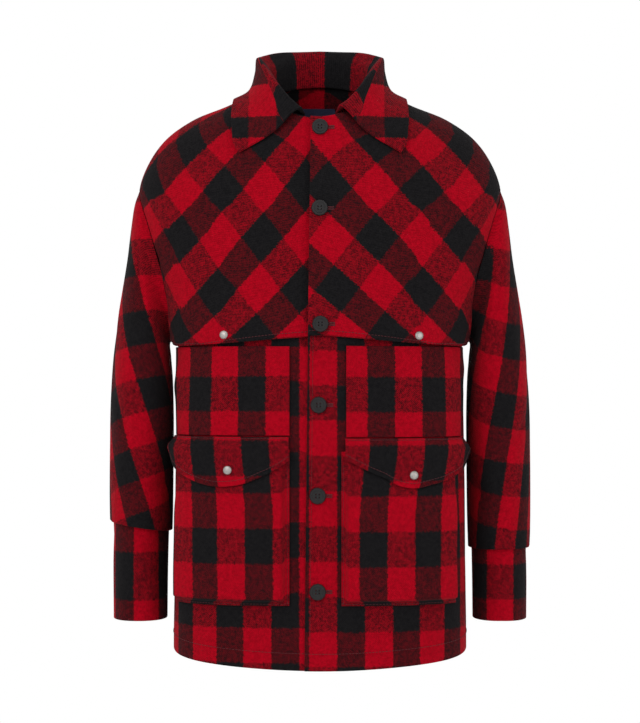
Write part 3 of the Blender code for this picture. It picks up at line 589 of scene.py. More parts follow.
def moved_in(line, distance, side):
    """A line in the XZ plane moved square to itself."""
    along = np.gradient(line, axis=0)
    along /= np.linalg.norm(along, axis=1, keepdims=True)
    return line + side * distance * np.stack([-along[:, 1], along[:, 0]], axis=1)


def sleeve_rings(layer, turns):
    """Rings of a left sleeve from the armhole down, a row each."""
    step = WALL / 2 + (SLEEVE_STEP if layer == "sleeve" else 0.0)
    outer = moved_in(SLEEVE[:, 0:2], step, -1.0)
    inner = moved_in(SLEEVE[:, 2:4], step, 1.0)
    around = np.radians(turns)
    cosine, sine = np.cos(around), np.sin(around)
    cosine = np.sign(cosine) * np.abs(cosine) ** (2 / SLEEVE_POWER)
    sine = np.sign(sine) * np.abs(sine) ** (2 / SLEEVE_POWER)
    rings = [armhole_ring(turns, layer)]
    for (out_x, out_z), (in_x, in_z), row in zip(outer, inner, SLEEVE):
        x = (out_x + in_x) / 2 + (out_x - in_x) / 2 * cosine
        z = (out_z + in_z) / 2 + (out_z - in_z) / 2 * cosine
        y = row[5] - (row[4] - step) * sine
        rings.append(np.stack([x, y, z], axis=1))
    return np.array(rings)


SLEEVE_KNOTS = np.concatenate(
    [[0.0], 0.0300 + lengths((SLEEVE[:, 0:2] + SLEEVE[:, 2:4]) / 2)]
)


# How far down the arm the rows of both layers of a sleeve lie.
SLEEVE_ROWS = np.array([0.0, 0.009, 0.020, 0.032, 0.046, 0.070, 0.105, 0.150, 0.200, 0.260, 0.330, 0.400])


def collar_section(row, side):
    """Points across the collar from its seam up over the roll and down the fall."""
    seam_turn, stand, lean, edge_turn, down = row
    seam_turn, edge_turn = side * seam_turn, side * edge_turn
    seam = torso(seam_turn, NECK, 0.0)
    away = np.array([seam[0], seam[1], 0.0])
    away /= np.linalg.norm(away)
    up = np.array([0.0, 0.0, 1.0])
    base = seam - away * 0.0056 - up * 0.0010
    section = [
        base,
        base + up * stand * 0.45 + away * (lean * 0.35 - 0.0010),
        base + up * stand * 0.86 + away * lean * 0.85,
        base + up * stand + away * (lean + 0.0040),
    ]
    falls = ((0.06, 0.0, 0.0075), (0.25, 0.0030, 0.0080), (0.60, 0.37, 0.0040), (1.0, 1.0, 0.0024))
    for share, part, free in falls:
        turn, climb = seam_turn + (edge_turn - seam_turn) * share, NECK - down * part
        if part < 0.1:
            climb = NECK - part
        rise = stand * {0.06: 0.88, 0.25: 0.42}.get(share, 0.0)
        stack = cape_lift(turn, climb) + WALL / 2 + COLLAR_WALL / 2
        if side > 0:
            stack = stack + front_lift("left", turn, climb)
        section.append(torso(turn, climb, stack + free) + up * rise)
    return np.array(section)


def collar_points(across=9, along=17):
    """The collar from the right front end round the back to the left front end."""
    knots = np.linspace(0, 1, len(COLLAR))
    at = np.linspace(0, 1, along)
    right = [collar_section(row, -1.0) for row in through(COLLAR, knots, at[::-1])]
    left = [collar_section(row, 1.0) for row in through(COLLAR, knots, at[1:])]
    sections = np.array(right + left)
    points = []
    for section in sections:
        knots = lengths(section)
        points.append(through(section, knots, knots[-1] * np.linspace(0, 1, across)))
    return np.array(points)


def across_front(side, near, far, z, share):
    """Places on a front between two edges, spaced evenly round it at each height."""
    near_turn, _ = front_place(near, z)
    far_turn, _ = front_place(far, z)
    turn = near_turn[:, None] + (far_turn - near_turn)[:, None] * share
    climb = climb_at(turn, z[:, None] + 0.0 * turn)
    return turn, climb


def laid(side, turn, climb, lift):
    return torso(turn, climb, front_lift(side, turn, climb) + lift)


def upper_patch_points(side, across=11, down=5):
    size = UPPER_PATCH[side]
    z = np.linspace(size["low"], size["top"], down)
    turn, climb = across_front(side, size["near"], size["far"], z, np.linspace(0, 1, across))
    return laid(side, turn, climb, PATCH_LIFT)


def pocket_proud(below_mouth):
    """How far the face of a pocket stands off, at some distance below its mouth."""
    return POCKET_MOUTH_PROUD + (POCKET_PROUD - POCKET_MOUTH_PROUD) * smoothstep(
        below_mouth, 0.0, 0.090
    )


def flap_lift(side, x, z):
    """A flap starts on the front, crosses the mouth of the pocket, and flares at its far end."""
    below = FLAP[side]["seam"] - z
    over_pocket = pocket_proud(POCKET[side]["top"] - z) + LAYER + 0.0014
    flare = FLAP_FLARE * smoothstep(np.abs(x), 0.150, 0.185)
    return PATCH_LIFT + (over_pocket + flare - PATCH_LIFT) * smoothstep(below, -0.002, 0.016)


def flap_points(side, across=13, down=6):
    """The flap, from its scalloped edge up to its seam."""
    edge = np.array(FLAP[side]["edge"])
    seam_z = FLAP[side]["seam"]
    knots = lengths(edge)
    line = through(edge, knots, knots[-1] * np.linspace(0, 1, across))
    share = (np.linspace(1, 0, down) ** 1.3)[:, None]
    z = seam_z + (line[None, :, 1] - seam_z) * share
    x = line[None, :, 0] + 0.0 * share
    turn, climb = front_place(x, z)
    return laid(side, turn, climb, flap_lift(side, x, z))


def frame_at(point, out):
    """A placing matrix with its Z along the way out of the cloth."""
    out = Vector(out).normalized()
    across = Vector((0, 0, 1)).cross(out).normalized()
    return Matrix.Translation(Vector(point)) @ Matrix((across, out.cross(across), out)).transposed().to_4x4()


def seat(place, lift):
    """A matrix on the cloth at a place that a function of lift gives."""
    low, high = place(lift), place(lift + 0.002)
    return frame_at(low, high - low)


def button_lift(x, z):
    """The cape lies on the front above its free edge, so a button there sits higher."""
    turn, climb = front_place(np.array(x), np.array(z))
    on_cape = float(climb) > float(cape_edge(turn)) - BUTTON_RADIUS
    return (float(cape_lift(turn, climb)) if on_cape else 0.0) + WALL / 2 + SEAM_GAP + 0.0004


def crease(creases, turn, along, degree):
    """How far the creases of a table pull the cloth in, at some turn and distance along."""
    total = np.zeros(np.broadcast(turn, along).shape)
    for middle_turn, middle, length, width, depth, slant in creases:
        across = ((np.asarray(turn, float) - middle_turn + 180) % 360 - 180) * degree
        up = along - middle
        lean = math.radians(slant)
        line = up * math.cos(lean) + across * math.sin(lean)
        off = across * math.cos(lean) - up * math.sin(lean)
        bend = off + 0.12 * line**2 / length
        window = np.clip(1 - (2 * line / length) ** 2, 0, 1) ** 1.5
        total = total - depth * window * np.exp(-((bend / width) ** 2) * 4)
    return total


def torso(turn, climb, lift=0.0):
    """A point on the torso, moved out from the creased middle of the body panels by lift."""
    turn, climb = np.broadcast_arrays(np.asarray(turn, float), np.asarray(climb, float))
    safe = np.clip(climb, 0.002, NECK - 0.002)
    across = torso_bare(turn + 0.5, safe) - torso_bare(turn - 0.5, safe)
    up = torso_bare(turn, safe + 0.002) - torso_bare(turn, safe - 0.002)
    out = np.cross(across, up)
    out /= np.linalg.norm(out, axis=-1, keepdims=True)
    moved = np.asarray(lift, float) + crease(TORSO_CREASES, turn, climb, DEGREE_OF_TORSO)
    return torso_bare(turn, climb) + out * moved[..., None]


def arcs(points):
    """Distances along the rows of a grid from its first column, and up its columns."""
    across = np.linalg.norm(np.diff(points, axis=1), axis=2).cumsum(axis=1)
    up = np.linalg.norm(np.diff(points, axis=0), axis=2).cumsum(axis=0)
    return np.pad(across, ((0, 0), (1, 0))), np.pad(up, ((1, 0), (0, 0)))


def pixel_of(points):
    """Where points show in the picture, across and down."""
    scale = PIXEL * (1 + points[..., 1] / CAMERA_AWAY)
    return (
        (PICTURE_WIDE - 1) / 2 + points[..., 0] / scale,
        PICTURE_TALL / 2 - (points[..., 2] - CAMERA_HEIGHT) / scale,
    )


def charted(points, across, up, chart, seen):
    """The weave of a piece as smooth functions of its own distances, from a chart of cells."""
    px, py = pixel_of(points)
    px = np.where(seen, px, 1e6)
    known, cells = [], []
    for x, y, column, row in chart:
        nearest = np.unravel_index(np.argmin((px - x) ** 2 + (py - y) ** 2), px.shape)
        known.append((across[nearest], up[nearest]))
        cells.append((column + 0.5, row + 0.5))

    def terms(s, t):
        return np.stack([np.ones_like(s), s, t, s * s * 4, s * t * 4, t * t * 4], axis=-1)

    known = np.array(known)
    factors = np.linalg.lstsq(terms(known[:, 0], known[:, 1]), np.array(cells), rcond=None)[0]
    return terms(across, up) @ factors


def straight(points, grain, start_across):
    """The weave of a piece cut along the grain. Its first column starts at some distance."""
    across, up = arcs(points)
    side = np.sign(points[:, -1, 0].mean() - points[:, 0, 0].mean())
    column = (start_across + side * across - grain[0]) / COLUMN
    row = (grain[1] - (points[0, :, 2][None, :] + up)) / ROW
    return np.stack([column, row], axis=-1)


def wool_look():
    """Red and black twill with a short nap. The cells of the weave are the UV map."""
    made = bpy.data.materials.new("wool_check")
    made.use_nodes = True
    tree = made.node_tree
    nodes, link = tree.nodes, tree.links.new
    shader = nodes["Principled BSDF"]

    def math_node(operation, first, second=None, third=None, clamp=False):
        node = nodes.new("ShaderNodeMath")
        node.operation = operation
        node.use_clamp = clamp
        for socket, value in zip(node.inputs, (first, second, third)):
            if value is None:
                continue
            if isinstance(value, (int, float)):
                socket.default_value = value
            else:
                link(value, socket)
        return node.outputs[0]

    place = nodes.new("ShaderNodeTexCoord").outputs["Object"]

    def noise(scale, detail=2.0, shift=0.0):
        node = nodes.new("ShaderNodeTexNoise")
        node.inputs["Scale"].default_value = scale
        node.inputs["Detail"].default_value = detail
        if shift:
            moved = nodes.new("ShaderNodeVectorMath")
            moved.operation = "ADD"
            moved.inputs[1].default_value = (shift, shift * 0.7, shift * 1.3)
            link(place, moved.inputs[0])
            link(moved.outputs[0], node.inputs["Vector"])
        else:
            link(place, node.inputs["Vector"])
        return node.outputs["Fac"]

    def mixed(factor, low, high):
        node = nodes.new("ShaderNodeMix")
        node.data_type = "RGBA"
        link(factor, node.inputs[0])
        for socket, value in ((node.inputs[6], low), (node.inputs[7], high)):
            if isinstance(value, tuple):
                socket.default_value = (*value, 1.0)
            else:
                link(value, socket)
        return node.outputs[2]

    cells = nodes.new("ShaderNodeUVMap")
    cells.uv_map = "cells"
    split = nodes.new("ShaderNodeSeparateXYZ")
    link(cells.outputs[0], split.inputs[0])

    def red_share(cell, shift):
        wobble = math_node("MULTIPLY_ADD", noise(420.0, 2.0, shift), 0.16, -0.08)
        wave = math_node("SINE", math_node("MULTIPLY", math_node("ADD", cell, wobble), math.pi))
        return math_node("MULTIPLY_ADD", wave, -9.0, 0.5, clamp=True)

    red_column = red_share(split.outputs[0], 3.0)
    red_row = red_share(split.outputs[1], 7.0)
    # A twill line runs up one thread a column: fine steps of the cells, both ways together.
    step = math_node("ADD", split.outputs[0], math_node("MULTIPLY", split.outputs[1], ROW / COLUMN))
    twill = math_node("SINE", math_node("MULTIPLY", step, 2 * math.pi * COLUMN / 0.0026))
    fine = noise(750.0, 3.0)
    coarse = noise(210.0, 2.0, 5.0)
    speck = math_node("ADD", math_node("MULTIPLY", fine, 2.6), math_node("MULTIPLY", coarse, 1.6))
    speck = math_node("ADD", speck, math_node("MULTIPLY", twill, 0.28))
    nap = math_node("ADD", speck, -1.62, clamp=True)
    colours = {name: mixed(nap, *pair) for name, pair in CLOTH.items()}
    in_red = mixed(red_row, colours["medium"], colours["bright"])
    in_black = mixed(red_row, colours["black"], colours["maroon"])
    link(mixed(red_column, in_black, in_red), shader.inputs["Base Color"])
    bump = nodes.new("ShaderNodeBump")
    bump.inputs["Strength"].default_value = 0.55
    bump.inputs["Distance"].default_value = 0.0006
    link(math_node("ADD", speck, math_node("MULTIPLY", noise(120.0, 2.0, 9.0), 1.2)), bump.inputs["Height"])
    link(bump.outputs[0], shader.inputs["Normal"])
    shader.inputs["Roughness"].default_value = 0.95
    shader.inputs["Specular IOR Level"].default_value = 0.03
    shader.inputs["Sheen Weight"].default_value = 0.02
    shader.inputs["Sheen Roughness"].default_value = 0.5
    shader.inputs["Sheen Tint"].default_value = (1.0, 0.85, 0.85, 1.0)
    return made


def plain_look(name, low, high, roughness, metallic=0.0, scale=300.0, bumps=0.0):
    """One colour with a slight grain."""
    made = bpy.data.materials.new(name)
    made.use_nodes = True
    nodes, link = made.node_tree.nodes, made.node_tree.links.new
    shader = nodes["Principled BSDF"]
    place = nodes.new("ShaderNodeTexCoord")
    grain = nodes.new("ShaderNodeTexNoise")
    grain.inputs["Scale"].default_value = scale
    link(place.outputs["Object"], grain.inputs["Vector"])
    mix = nodes.new("ShaderNodeMix")
    mix.data_type = "RGBA"
    mix.inputs[6].default_value = (*low, 1.0)
    mix.inputs[7].default_value = (*high, 1.0)
    link(grain.outputs["Fac"], mix.inputs[0])
    link(mix.outputs[2], shader.inputs["Base Color"])
    if bumps:
        bump = nodes.new("ShaderNodeBump")
        bump.inputs["Strength"].default_value = 0.4
        bump.inputs["Distance"].default_value = bumps
        link(grain.outputs["Fac"], bump.inputs["Height"])
        link(bump.outputs[0], shader.inputs["Normal"])
    shader.inputs["Roughness"].default_value = roughness
    shader.inputs["Metallic"].default_value = metallic
    return made


def unit(vectors):
    return vectors / np.maximum(np.linalg.norm(vectors, axis=-1, keepdims=True), 1e-12)


def normals_of(points, closed):
    """The way out of a grid of points, from its columns across and its rows up."""
    if closed:
        across = np.roll(points, -1, axis=1) - np.roll(points, 1, axis=1)
    else:
        across = np.gradient(points, axis=1)
    return unit(np.cross(across, np.gradient(points, axis=0)))


def loops_of(rows, columns, closed):
    """The edges of a grid, each as a ring of (row, column, column of the cells)."""
    if closed:
        first = [(0, c, c) for c in range(columns)]
        last = [(rows - 1, c % columns, c) for c in range(columns, 0, -1)]
        return [first, last]
    ring = [(0, c, c) for c in range(columns - 1)]
    ring += [(r, columns - 1, columns - 1) for r in range(rows - 1)]
    ring += [(rows - 1, c, c) for c in range(columns - 1, 0, -1)]
    ring += [(r, 0, 0) for r in range(rows - 1, 0, -1)]
    return [ring]


def cloth_piece(name, points, cells, wall, look, closed=False):
    """A closed thin shell round a grid of points, with rounded edges and the weave as its UV map."""
    rows, columns = points.shape[:2]
    wide = cells.shape[1]
    out = normals_of(points, closed)
    half = wall / 2
    middle = points.copy()
    rims = []
    for ring in loops_of(rows, columns, closed):
        r = np.array([place[0] for place in ring])
        c = np.array([place[1] for place in ring])
        line = points[r, c]
        along = unit(np.roll(line, -1, axis=0) - np.roll(line, 1, axis=0))
        away = unit(np.cross(along, out[r, c]))
        middle[r, c] = line - away * half
        rims.append((ring, r, c, away))
    grid = np.arange(rows * columns).reshape(rows, columns)
    vertices = [(middle + out * half).reshape(-1, 3), (middle - out * half).reshape(-1, 3)]
    count = 2 * rows * columns
    ahead = np.roll(grid, -1, axis=1) if closed else grid
    stop = columns if closed else columns - 1
    a, b = grid[:-1, :stop], (ahead if closed else grid[:, 1:])[:-1, :stop]
    d, e = grid[1:, :stop], (ahead if closed else grid[:, 1:])[1:, :stop]
    quads = np.stack([a, b, e, d], axis=-1).reshape(-1, 4)
    cell_grid = np.arange(rows * wide).reshape(rows, wide)
    ca, cb = cell_grid[:-1, :stop], cell_grid[:-1, 1 : stop + 1]
    cd, ce = cell_grid[1:, :stop], cell_grid[1:, 1 : stop + 1]
    cell_quads = np.stack([ca, cb, ce, cd], axis=-1).reshape(-1, 4)
    faces = [quads, quads[:, ::-1] + rows * columns]
    face_cells = [cell_quads, cell_quads[:, ::-1]]
    for ring, r, c, away in rims:
        size = len(ring)
        levels = [grid[r, c]]
        for turn in (45, 90, 135):
            lean = math.radians(turn)
            base = middle[r, c] + out[r, c] * half * math.cos(lean) + away * half * math.sin(lean)
            vertices.append(base)
            levels.append(np.arange(count, count + size))
            count += size
        levels.append(grid[r, c] + rows * columns)
        here = np.array([cell_grid[place[0], place[2]] for place in ring])
        after = np.roll(here, -1)
        if closed:
            last = ring[-1]
            shift = 1 if ring[0][0] == 0 else -1
            after[-1] = cell_grid[last[0], last[2] + shift]
        for high, low in zip(levels, levels[1:]):
            faces.append(np.stack([high, low, np.roll(low, -1), np.roll(high, -1)], axis=-1))
            face_cells.append(np.stack([here, here, after, after], axis=-1))
    vertices, faces = np.concatenate(vertices), np.concatenate(faces)
    face_cells = np.concatenate(face_cells)
    mesh = bpy.data.meshes.new(name)
    mesh.from_pydata(vertices.tolist(), [], faces.tolist())
    layer = mesh.uv_layers.new(name="cells")
    flat_cells = cells.reshape(-1, 2)
    layer.data.foreach_set("uv", flat_cells[face_cells.reshape(-1)].astype(np.float32).reshape(-1))
    mesh.polygons.foreach_set("use_smooth", np.ones(len(faces), bool))
    mesh.materials.append(look)
    made = bpy.data.objects.new(name, mesh)
    bpy.context.scene.collection.objects.link(made)
    return made


def sleeve_grid(side, layer, around=72, times=12):
    """The middle of a sleeve, from the back of the arm round over the top, with its creases."""
    turns = np.arange(around) * 360.0 / around - 90.0
    rings = sleeve_rings(layer, turns)
    if layer == "sleeve":
        last = np.full(around, SLEEVE_KNOTS[-1])
    else:
        outer_z, inner_z = OVERSLEEVE_END[side]
        stop_z = outer_z + (inner_z - outer_z) * (1 - np.cos(np.radians(turns))) / 2
        fine = np.linspace(0.15, SLEEVE_KNOTS[-1], 300)
        heights = [through(rings[:, k], SLEEVE_KNOTS, fine)[:, 2] for k in range(around)]
        last = np.array([np.interp(-z, -line, fine) for z, line in zip(stop_z, heights)])
    rows = [np.full(around, row) for row in SLEEVE_ROWS if row < last.min() - 0.020]
    rows = finer_rows(np.array(rows + [last]), times)
    points = np.empty((len(rows), around, 3))
    for k in range(around):
        points[:, k] = through(rings[:, k], SLEEVE_KNOTS, rows[:, k])
    out = normals_of(points, True)
    middle = points.mean(axis=1, keepdims=True)
    out *= np.sign(((points - middle) * out).sum(axis=-1).mean())
    fade = smoothstep(rows, 0.010, 0.050)
    points = points + out * (crease(SLEEVE_CREASES[side], turns, rows, DEGREE_OF_SLEEVE) * fade)[..., None]
    points[..., 0] *= side_of(side)
    return points, turns, rows


def sleeve_cells(side, layer, points, turns):
    """The weave of a sleeve. Distances across run from its front line to the wearer's left."""
    round_again = np.concatenate([points, points[:, :1]], axis=1)
    across, _ = arcs(round_again)
    front = int(np.argmin(np.abs(turns - 90.0)))
    across = (across - across[:, front : front + 1]) * -side_of(side)
    height = round_again[..., 2]
    if layer == "oversleeve":
        seen = np.broadcast_to(np.append(turns, 270.0)[None, :], height.shape)
        seen = (seen >= 0) & (seen <= 180)
        return charted(round_again, across, height, OVERSLEEVE_CHART[side], seen)
    start, heights = CUFF[side]
    row = np.interp(-height, -np.array(heights), (-1.0, 0.0, 1.0, 2.0))
    above = heights[0]
    row = np.where(height > above, -1.0 - (height - above) / ROW, row)
    return np.stack([(across - start) / COLUMN, row], axis=-1)


def pocket_grid(side):
    """The bellows pocket: a flange on the front, soft gusset walls, and the face."""
    size = POCKET[side]
    wide = abs(size["far"] - size["near"])
    ends = np.array([0.0, 0.003, 0.006, 0.007, 0.0085, 0.010, 0.0115, 0.014])
    inner = np.linspace(0.018 / wide, 1 - 0.018 / wide, 31)
    share = np.concatenate([ends / wide, inner, 1 - ends[::-1] / wide])
    z = np.concatenate([size["low"] + ends, np.linspace(size["low"] + 0.018, size["top"], 42)])
    turn, climb = across_front(side, size["near"], size["far"], z, share)
    inward = np.minimum(np.minimum(share, 1 - share)[None, :] * wide, (z - size["low"])[:, None])
    face = smoothstep(inward, POCKET_FLANGE * 0.6, POCKET_FLANGE + POCKET_GUSSET)
    proud = pocket_proud(size["top"] - z)[:, None]
    return laid(side, turn, climb, PATCH_LIFT + (proud - PATCH_LIFT) * face)


def collar_cells(points, roll):
    """The weave of the collar, first that of its stand and then that of its fall."""
    along = lengths(points[:, 0])
    along = along - along[len(along) // 2]
    stand = np.broadcast_to(((along - STAND_COLUMN_START) / STAND_COLUMN)[:, None], points.shape[:2])
    stand = np.stack([stand, np.full(points.shape[:2], 0.5)], axis=-1)
    heights = np.array(COLLAR_COLUMN_HEIGHTS)
    column = np.interp(-points[..., 2], -heights, (-2.0, -1.0, 0.0, 1.0, 2.0))
    beyond = np.maximum(points[..., 2] - heights[0], 0.0)
    column = column - beyond / COLUMN
    row = np.empty(column.shape)
    middle = len(points) // 2
    halves = {"right": np.arange(middle + 1), "left": np.arange(len(points) - 1, middle - 1, -1)}
    for side, rows in halves.items():
        for c in range(points.shape[1]):
            line = points[rows, c]
            by_place = np.interp(np.abs(line[:, 0]), COLLAR_ROW_PLACES[side], (0.0, 1.0, 2.0, 3.0))
            turn = int(np.argmax(line[:, 1] > 0.0))
            walked = lengths(line)
            share = np.clip((walked - walked[turn]) / (walked[-1] - walked[turn]), 0.0, 1.0)
            behind = by_place[turn] + (COLLAR_ROW_AT_BACK - by_place[turn]) * share
            row[rows, c] = np.where(np.arange(len(rows)) < turn, by_place, behind)
    fall = np.stack([column, row], axis=-1)
    return np.where((np.arange(points.shape[1]) <= roll)[None, :, None], stand, fall)


def collar_grid(across=37, along=129):
    """The collar with two close columns of points at its roll. Also says which column is the roll."""
    points = collar_points(across, along)
    middle = len(points) // 2
    highest = np.argmax(points[middle - 10 : middle + 10, :, 2], axis=1)
    top = int(np.round(np.mean(highest)))
    extra = points[:, top] + unit(points[:, top + 1] - points[:, top]) * 0.0006
    return np.concatenate([points[:, : top + 1], extra[:, None], points[:, top + 1 :]], axis=1), top


def tube(points, radius, sides=6):
    """Vertices and faces of a thin round bar along a short line of points."""
    points = np.asarray(points, float)
    along = unit(np.gradient(points, axis=0))
    up = np.array([0.0, 0.0, 1.0]) if abs(along[0, 2]) < 0.9 else np.array([0.0, 1.0, 0.0])
    first = unit(np.cross(along, up))
    second = np.cross(along, first)
    around = np.arange(sides) * 2 * math.pi / sides
    size = np.full(len(points), radius)
    size[0] = size[-1] = radius * 0.45
    rings = points[:, None] + size[:, None, None] * (
        first[:, None] * np.cos(around)[None, :, None] + second[:, None] * np.sin(around)[None, :, None]
    )
    faces = []
    for r in range(len(points) - 1):
        for k in range(sides):
            j = (k + 1) % sides
            faces.append((r * sides + k, r * sides + j, (r + 1) * sides + j, (r + 1) * sides + k))
    faces.append(tuple(range(sides - 1, -1, -1)))
    faces.append(tuple(range((len(points) - 1) * sides, len(points) * sides)))
    return rings.reshape(-1, 3), faces


def bars(name, lines, radius, look):
    """One object of many short bars of thread."""
    vertices, faces, count = [], [], 0
    for line in lines:
        made, ends = tube(line, radius)
        vertices.append(made)
        faces += [tuple(i + count for i in face) for face in ends]
        count += len(made)
    mesh = bpy.data.meshes.new(name)
    mesh.from_pydata(np.concatenate(vertices).tolist(), [], faces)
    mesh.polygons.foreach_set("use_smooth", np.ones(len(faces), bool))
    mesh.materials.append(look)
    made = bpy.data.objects.new(name, mesh)
    bpy.context.scene.collection.objects.link(made)
    return made


def stitches(line, out):
    """Stitches along a line of points on the face of the cloth, each a short bowed bar."""
    knots = lengths(line)
    count = int(knots[-1] / STITCH_STEP)
    lines = []
    for k in range(count):
        at = (k + 0.5) * knots[-1] / count + np.array([-0.5, -0.25, 0.25, 0.5]) * STITCH
        at = np.clip(at, 0, knots[-1])
        place = np.stack([np.interp(at, knots, line[:, i]) for i in range(3)], axis=-1)
        way = unit(np.stack([np.interp(at, knots, out[:, i]) for i in range(3)], axis=-1))
        lines.append(place + way * np.array([-0.0002, 0.0003, 0.0003, -0.0002])[:, None])
    return lines


def seam_line(points, wall, outward, row_in=None, column_in=None):
    """A line on the face of a piece, some distance in from its first row or one of its columns."""
    out = normals_of(points, False)
    out = out * np.sign((out * outward(points)).sum())
    face = points + out * (wall / 2 + THREAD_WIDE * 0.2)
    if row_in is not None:
        up = arcs(points)[1]
        line, way = [], []
        for c in range(points.shape[1]):
            at = row_in if row_in >= 0 else up[-1, c] + row_in
            line.append([np.interp(at, up[:, c], face[:, c, i]) for i in range(3)])
            way.append([np.interp(at, up[:, c], out[:, c, i]) for i in range(3)])
        return np.array(line), np.array(way)
    across = arcs(points)[0]
    line, way = [], []
    for r in range(points.shape[0]):
        at = column_in if column_in >= 0 else across[r, -1] + column_in
        line.append([np.interp(at, across[r], face[r, :, i]) for i in range(3)])
        way.append([np.interp(at, across[r], out[r, :, i]) for i in range(3)])
    return np.array(line), np.array(way)


def from_axis(points):
    """Outward from the upright axis of the body."""
    return points * np.array([1.0, 1.0, 0.0])


def trimmed(line, way, low, high):
    return line[low : len(line) - high], way[low : len(way) - high]


def build():
    wool = wool_look()
    thread = plain_look("thread", (0.050, 0.0040, 0.0070), (0.090, 0.0060, 0.0100), 0.8, scale=900.0)
    dark_thread = plain_look("dark_thread", (0.010, 0.010, 0.012), (0.022, 0.020, 0.022), 0.8, scale=900.0)
    pieces, sewn = {}, {}

    def add(name, points, cells, wall=WALL, closed=False):
        pieces[name] = cloth_piece(name + "_cloth", points, cells, wall, wool, closed)
        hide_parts(name)
        print("CUT", name, [round(float(arcs(points)[k].max()), 3) for k in (0, 1)], flush=True)

    def sew(name, line, way):
        sewn.setdefault(name, []).extend(stitches(line, way))

    for side in ("right", "left"):
        turned = slice(None, None, -1) if side == "right" else slice(None)
        points = front_points(side, 49, 6)
        cells = straight(points, GRAIN[f"front_{side}"], points[:, :1, 0])
        add(f"front_{side}", points[:, turned], cells[:, turned])
        sew(f"front_{side}", *seam_line(points, WALL, from_axis, row_in=0.022))
        if side == "left":
            line, way = seam_line(points, WALL, from_axis, column_in=0.0065)
            sew(f"front_{side}", *trimmed(line, way, 3, 6))
        points = cape_front_points(side, 49, 6)
        across, up = arcs(points)
        across = points[:, :1, 0] + side_of(side) * across
        up = points[:1, :, 2] + up
        cells = charted(points, across, up, CAPE_CHART[side], np.ones(up.shape, bool))
        add(f"cape_front_{side}", points[:, turned], cells[:, turned])
        sew(f"cape_front_{side}", *seam_line(points, WALL, from_axis, row_in=EDGE_SEAM))
        points = upper_patch_points(side, 41, 33)
        cells = straight(points, GRAIN[f"upper_patch_{side}"], points[:, :1, 0])
        add(f"upper_patch_{side}", points[:, turned], cells[:, turned])
        points = pocket_grid(side)
        cells = straight(points, GRAIN[f"pocket_{side}"], points[:, :1, 0])
        add(f"pocket_{side}", points[:, turned], cells[:, turned])
        sew(f"pocket_{side}", *seam_line(points, WALL, from_axis, row_in=0.0030))
        for into in (0.0030, -0.0030):
            sew(f"pocket_{side}", *trimmed(*seam_line(points, WALL, from_axis, column_in=into), 1, 4))
        points = flap_points(side, 57, 21)
        cells = straight(points, GRAIN[f"pocket_flap_{side}"], points[:, :1, 0])
        flat_z = points[..., 2]
        cells[..., 1] = (GRAIN[f"pocket_flap_{side}"][1] - flat_z) / ROW
        add(f"pocket_flap_{side}", points[:, turned], cells[:, turned])
        sew(f"pocket_flap_{side}", *seam_line(points, WALL, from_axis, row_in=EDGE_SEAM))
        sew(f"pocket_flap_{side}", *trimmed(*seam_line(points, WALL, from_axis, row_in=-0.0030), 1, 1))
        for layer in ("sleeve", "oversleeve"):
            points, turns, rows = sleeve_grid(side, layer)
            cells = sleeve_cells(side, layer, points, turns)
            if side == "left":
                points, cells = points[:, ::-1], cells[:, ::-1]
            add(f"{layer}_{side}", points, cells, closed=True)

    points = back_points(97, 6)
    cells = straight(points, GRAIN["back"], points[:, :1, 0])
    across, up = arcs(points)
    middle = across - across[:, -1:] / 2
    cells[..., 0] = (middle + STAND_COLUMN_START) / COLUMN + 1.0
    add("back", points, cells)
    sew("back", *seam_line(points, WALL, from_axis, row_in=0.022))
    points = cape_back_points(97, 6)
    across, up = arcs(points)
    across = across - across[:, -1:] / 2
    slant = math.sqrt(0.5)
    cells = np.stack([(across + up) * slant / COLUMN, (across - up) * slant / ROW], axis=-1)
    add("cape_back", points, cells)
    sew("cape_back", *seam_line(points, WALL, from_axis, row_in=EDGE_SEAM))
    points, roll = collar_grid()
    add("collar", points, collar_cells(points, roll), COLLAR_WALL)

    for name, lines in sewn.items():
        made = bars(name + "_stitches", lines, THREAD_WIDE / 2, thread)
        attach(made, "root")
    return pieces, wool, thread, dark_thread


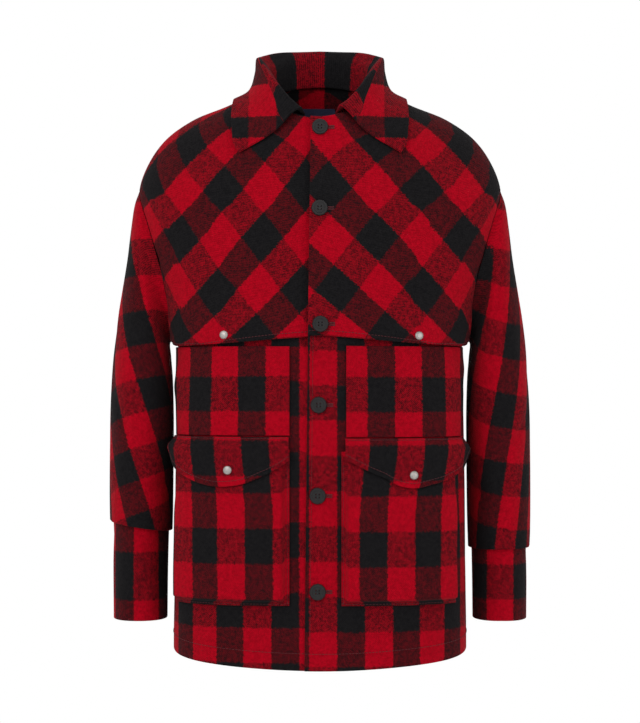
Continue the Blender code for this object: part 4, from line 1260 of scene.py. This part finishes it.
def add_notions(thread, dark_thread):
    """Looks for buttons, snaps and label, the thread in the buttons, and the buttonholes."""
    horn = plain_look("horn", (0.004, 0.004, 0.005), (0.016, 0.014, 0.014), 0.34, scale=180.0)
    horn.node_tree.nodes["Principled BSDF"].inputs["Specular IOR Level"].default_value = 0.22
    metal = plain_look("metal", (0.22, 0.20, 0.19), (0.44, 0.41, 0.39), 0.38, 1.0, scale=500.0)
    low, high = (0.006, 0.009, 0.030), (0.012, 0.018, 0.055)
    navy = plain_look("label_tape", low, high, 0.75, scale=1200.0, bumps=0.0002)
    looks = {"button_": horn, "snap_": metal, "neck_label": navy}
    for node in [o for o in bpy.data.objects if o.type == "MESH"]:
        for start, look in looks.items():
            if node.name.startswith(start) and not node.name.endswith("_cloth"):
                node.data.materials.clear()
                node.data.materials.append(look)
                if start != "neck_label":
                    node.data.polygons.foreach_set("use_smooth", np.ones(len(node.data.polygons), bool))
    lines, holes = [], []
    for x, z in BUTTONS:
        lift = button_lift(x, z)
        matrix = seat(lambda more, x=x, z=z: on_front("left", x, z, more), lift)
        reach = BUTTON_HOLE_OUT / 1.414
        arch = ((-reach, 0.3), (-reach * 0.7, 0.86), (reach * 0.7, 0.86), (reach, 0.3))
        for row in (-reach, reach):
            for more in (-0.0003, 0.0003):
                ends = [
                    matrix @ Vector((across, row + more, BUTTON_THICK * high))
                    for across, high in arch
                ]
                lines.append([tuple(p) for p in ends])
        face = matrix @ Matrix.Translation((0, 0, -SEAM_GAP))
        for k in range(24):
            for edge in (-1, 1):
                along = BUTTON_RADIUS * 0.15 + k * 0.00072
                bend = ((0.0002, 0.0002), (0.0020, 0.0003), (0.0022, -0.0004))
                ends = [face @ Vector((along, edge * out, up)) for out, up in bend]
                holes.append([tuple(p) for p in ends])
    made = bars("button_thread", lines, 0.00030, dark_thread)
    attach(made, "root")
    made = bars("buttonholes", holes, 0.00036, thread)
    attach(made, "root")


def add_stage():
    """A pale floor well below the jacket, soft light, and the camera of the picture."""
    pale = plain_look("pale_floor", (0.86, 0.86, 0.86), (0.88, 0.88, 0.88), 0.9, scale=3.0)
    mesh = bpy.data.meshes.new("floor")
    low = -1.30
    mesh.from_pydata([(-3, -2.2, low), (3, -2.2, low), (3, 2.2, low), (-3, 2.2, low)], [], [(0, 1, 2, 3)])
    mesh.materials.append(pale)
    floor = bpy.data.objects.new("floor", mesh)
    bpy.context.scene.collection.objects.link(floor)
    world = bpy.data.worlds.new("studio")
    bpy.context.scene.world = world
    world.use_nodes = True
    world.node_tree.nodes["Background"].inputs[0].default_value = (1.0, 1.0, 1.0, 1.0)
    world.node_tree.nodes["Background"].inputs[1].default_value = 1.0
    # place, size, watts
    for name, place, size, watts in (
        ("key", (-1.3, -2.2, 1.0), 1.4, 26.0),
        ("fill", (1.7, -2.0, 0.2), 1.4, 9.0),
    ):
        light = bpy.data.lights.new(name, "AREA")
        light.size = size
        light.energy = watts
        lamp = bpy.data.objects.new(name, light)
        lamp.location = place
        way = Vector((0.0, 0.0, -0.35)) - Vector(place)
        lamp.rotation_euler = way.to_track_quat("-Z", "Y").to_euler()
        bpy.context.scene.collection.objects.link(lamp)
    camera = bpy.data.cameras.new("camera")
    camera.sensor_width = 36.0
    camera.lens = 36.0 * CAMERA_AWAY / (PIXEL * PICTURE_TALL)
    eye = bpy.data.objects.new("camera", camera)
    eye.location = (0.0, -CAMERA_AWAY, CAMERA_HEIGHT)
    eye.rotation_euler = (math.pi / 2, 0.0, 0.0)
    bpy.context.scene.collection.objects.link(eye)
    bpy.context.scene.camera = eye
    bpy.context.scene.view_settings.view_transform = "Standard"


pieces, wool, thread, dark_thread = build()
for name, (wide, long, area, held, rests) in CUTS.items():
    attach(pieces[name], "root")
add_notions(thread, dark_thread)
add_stage()
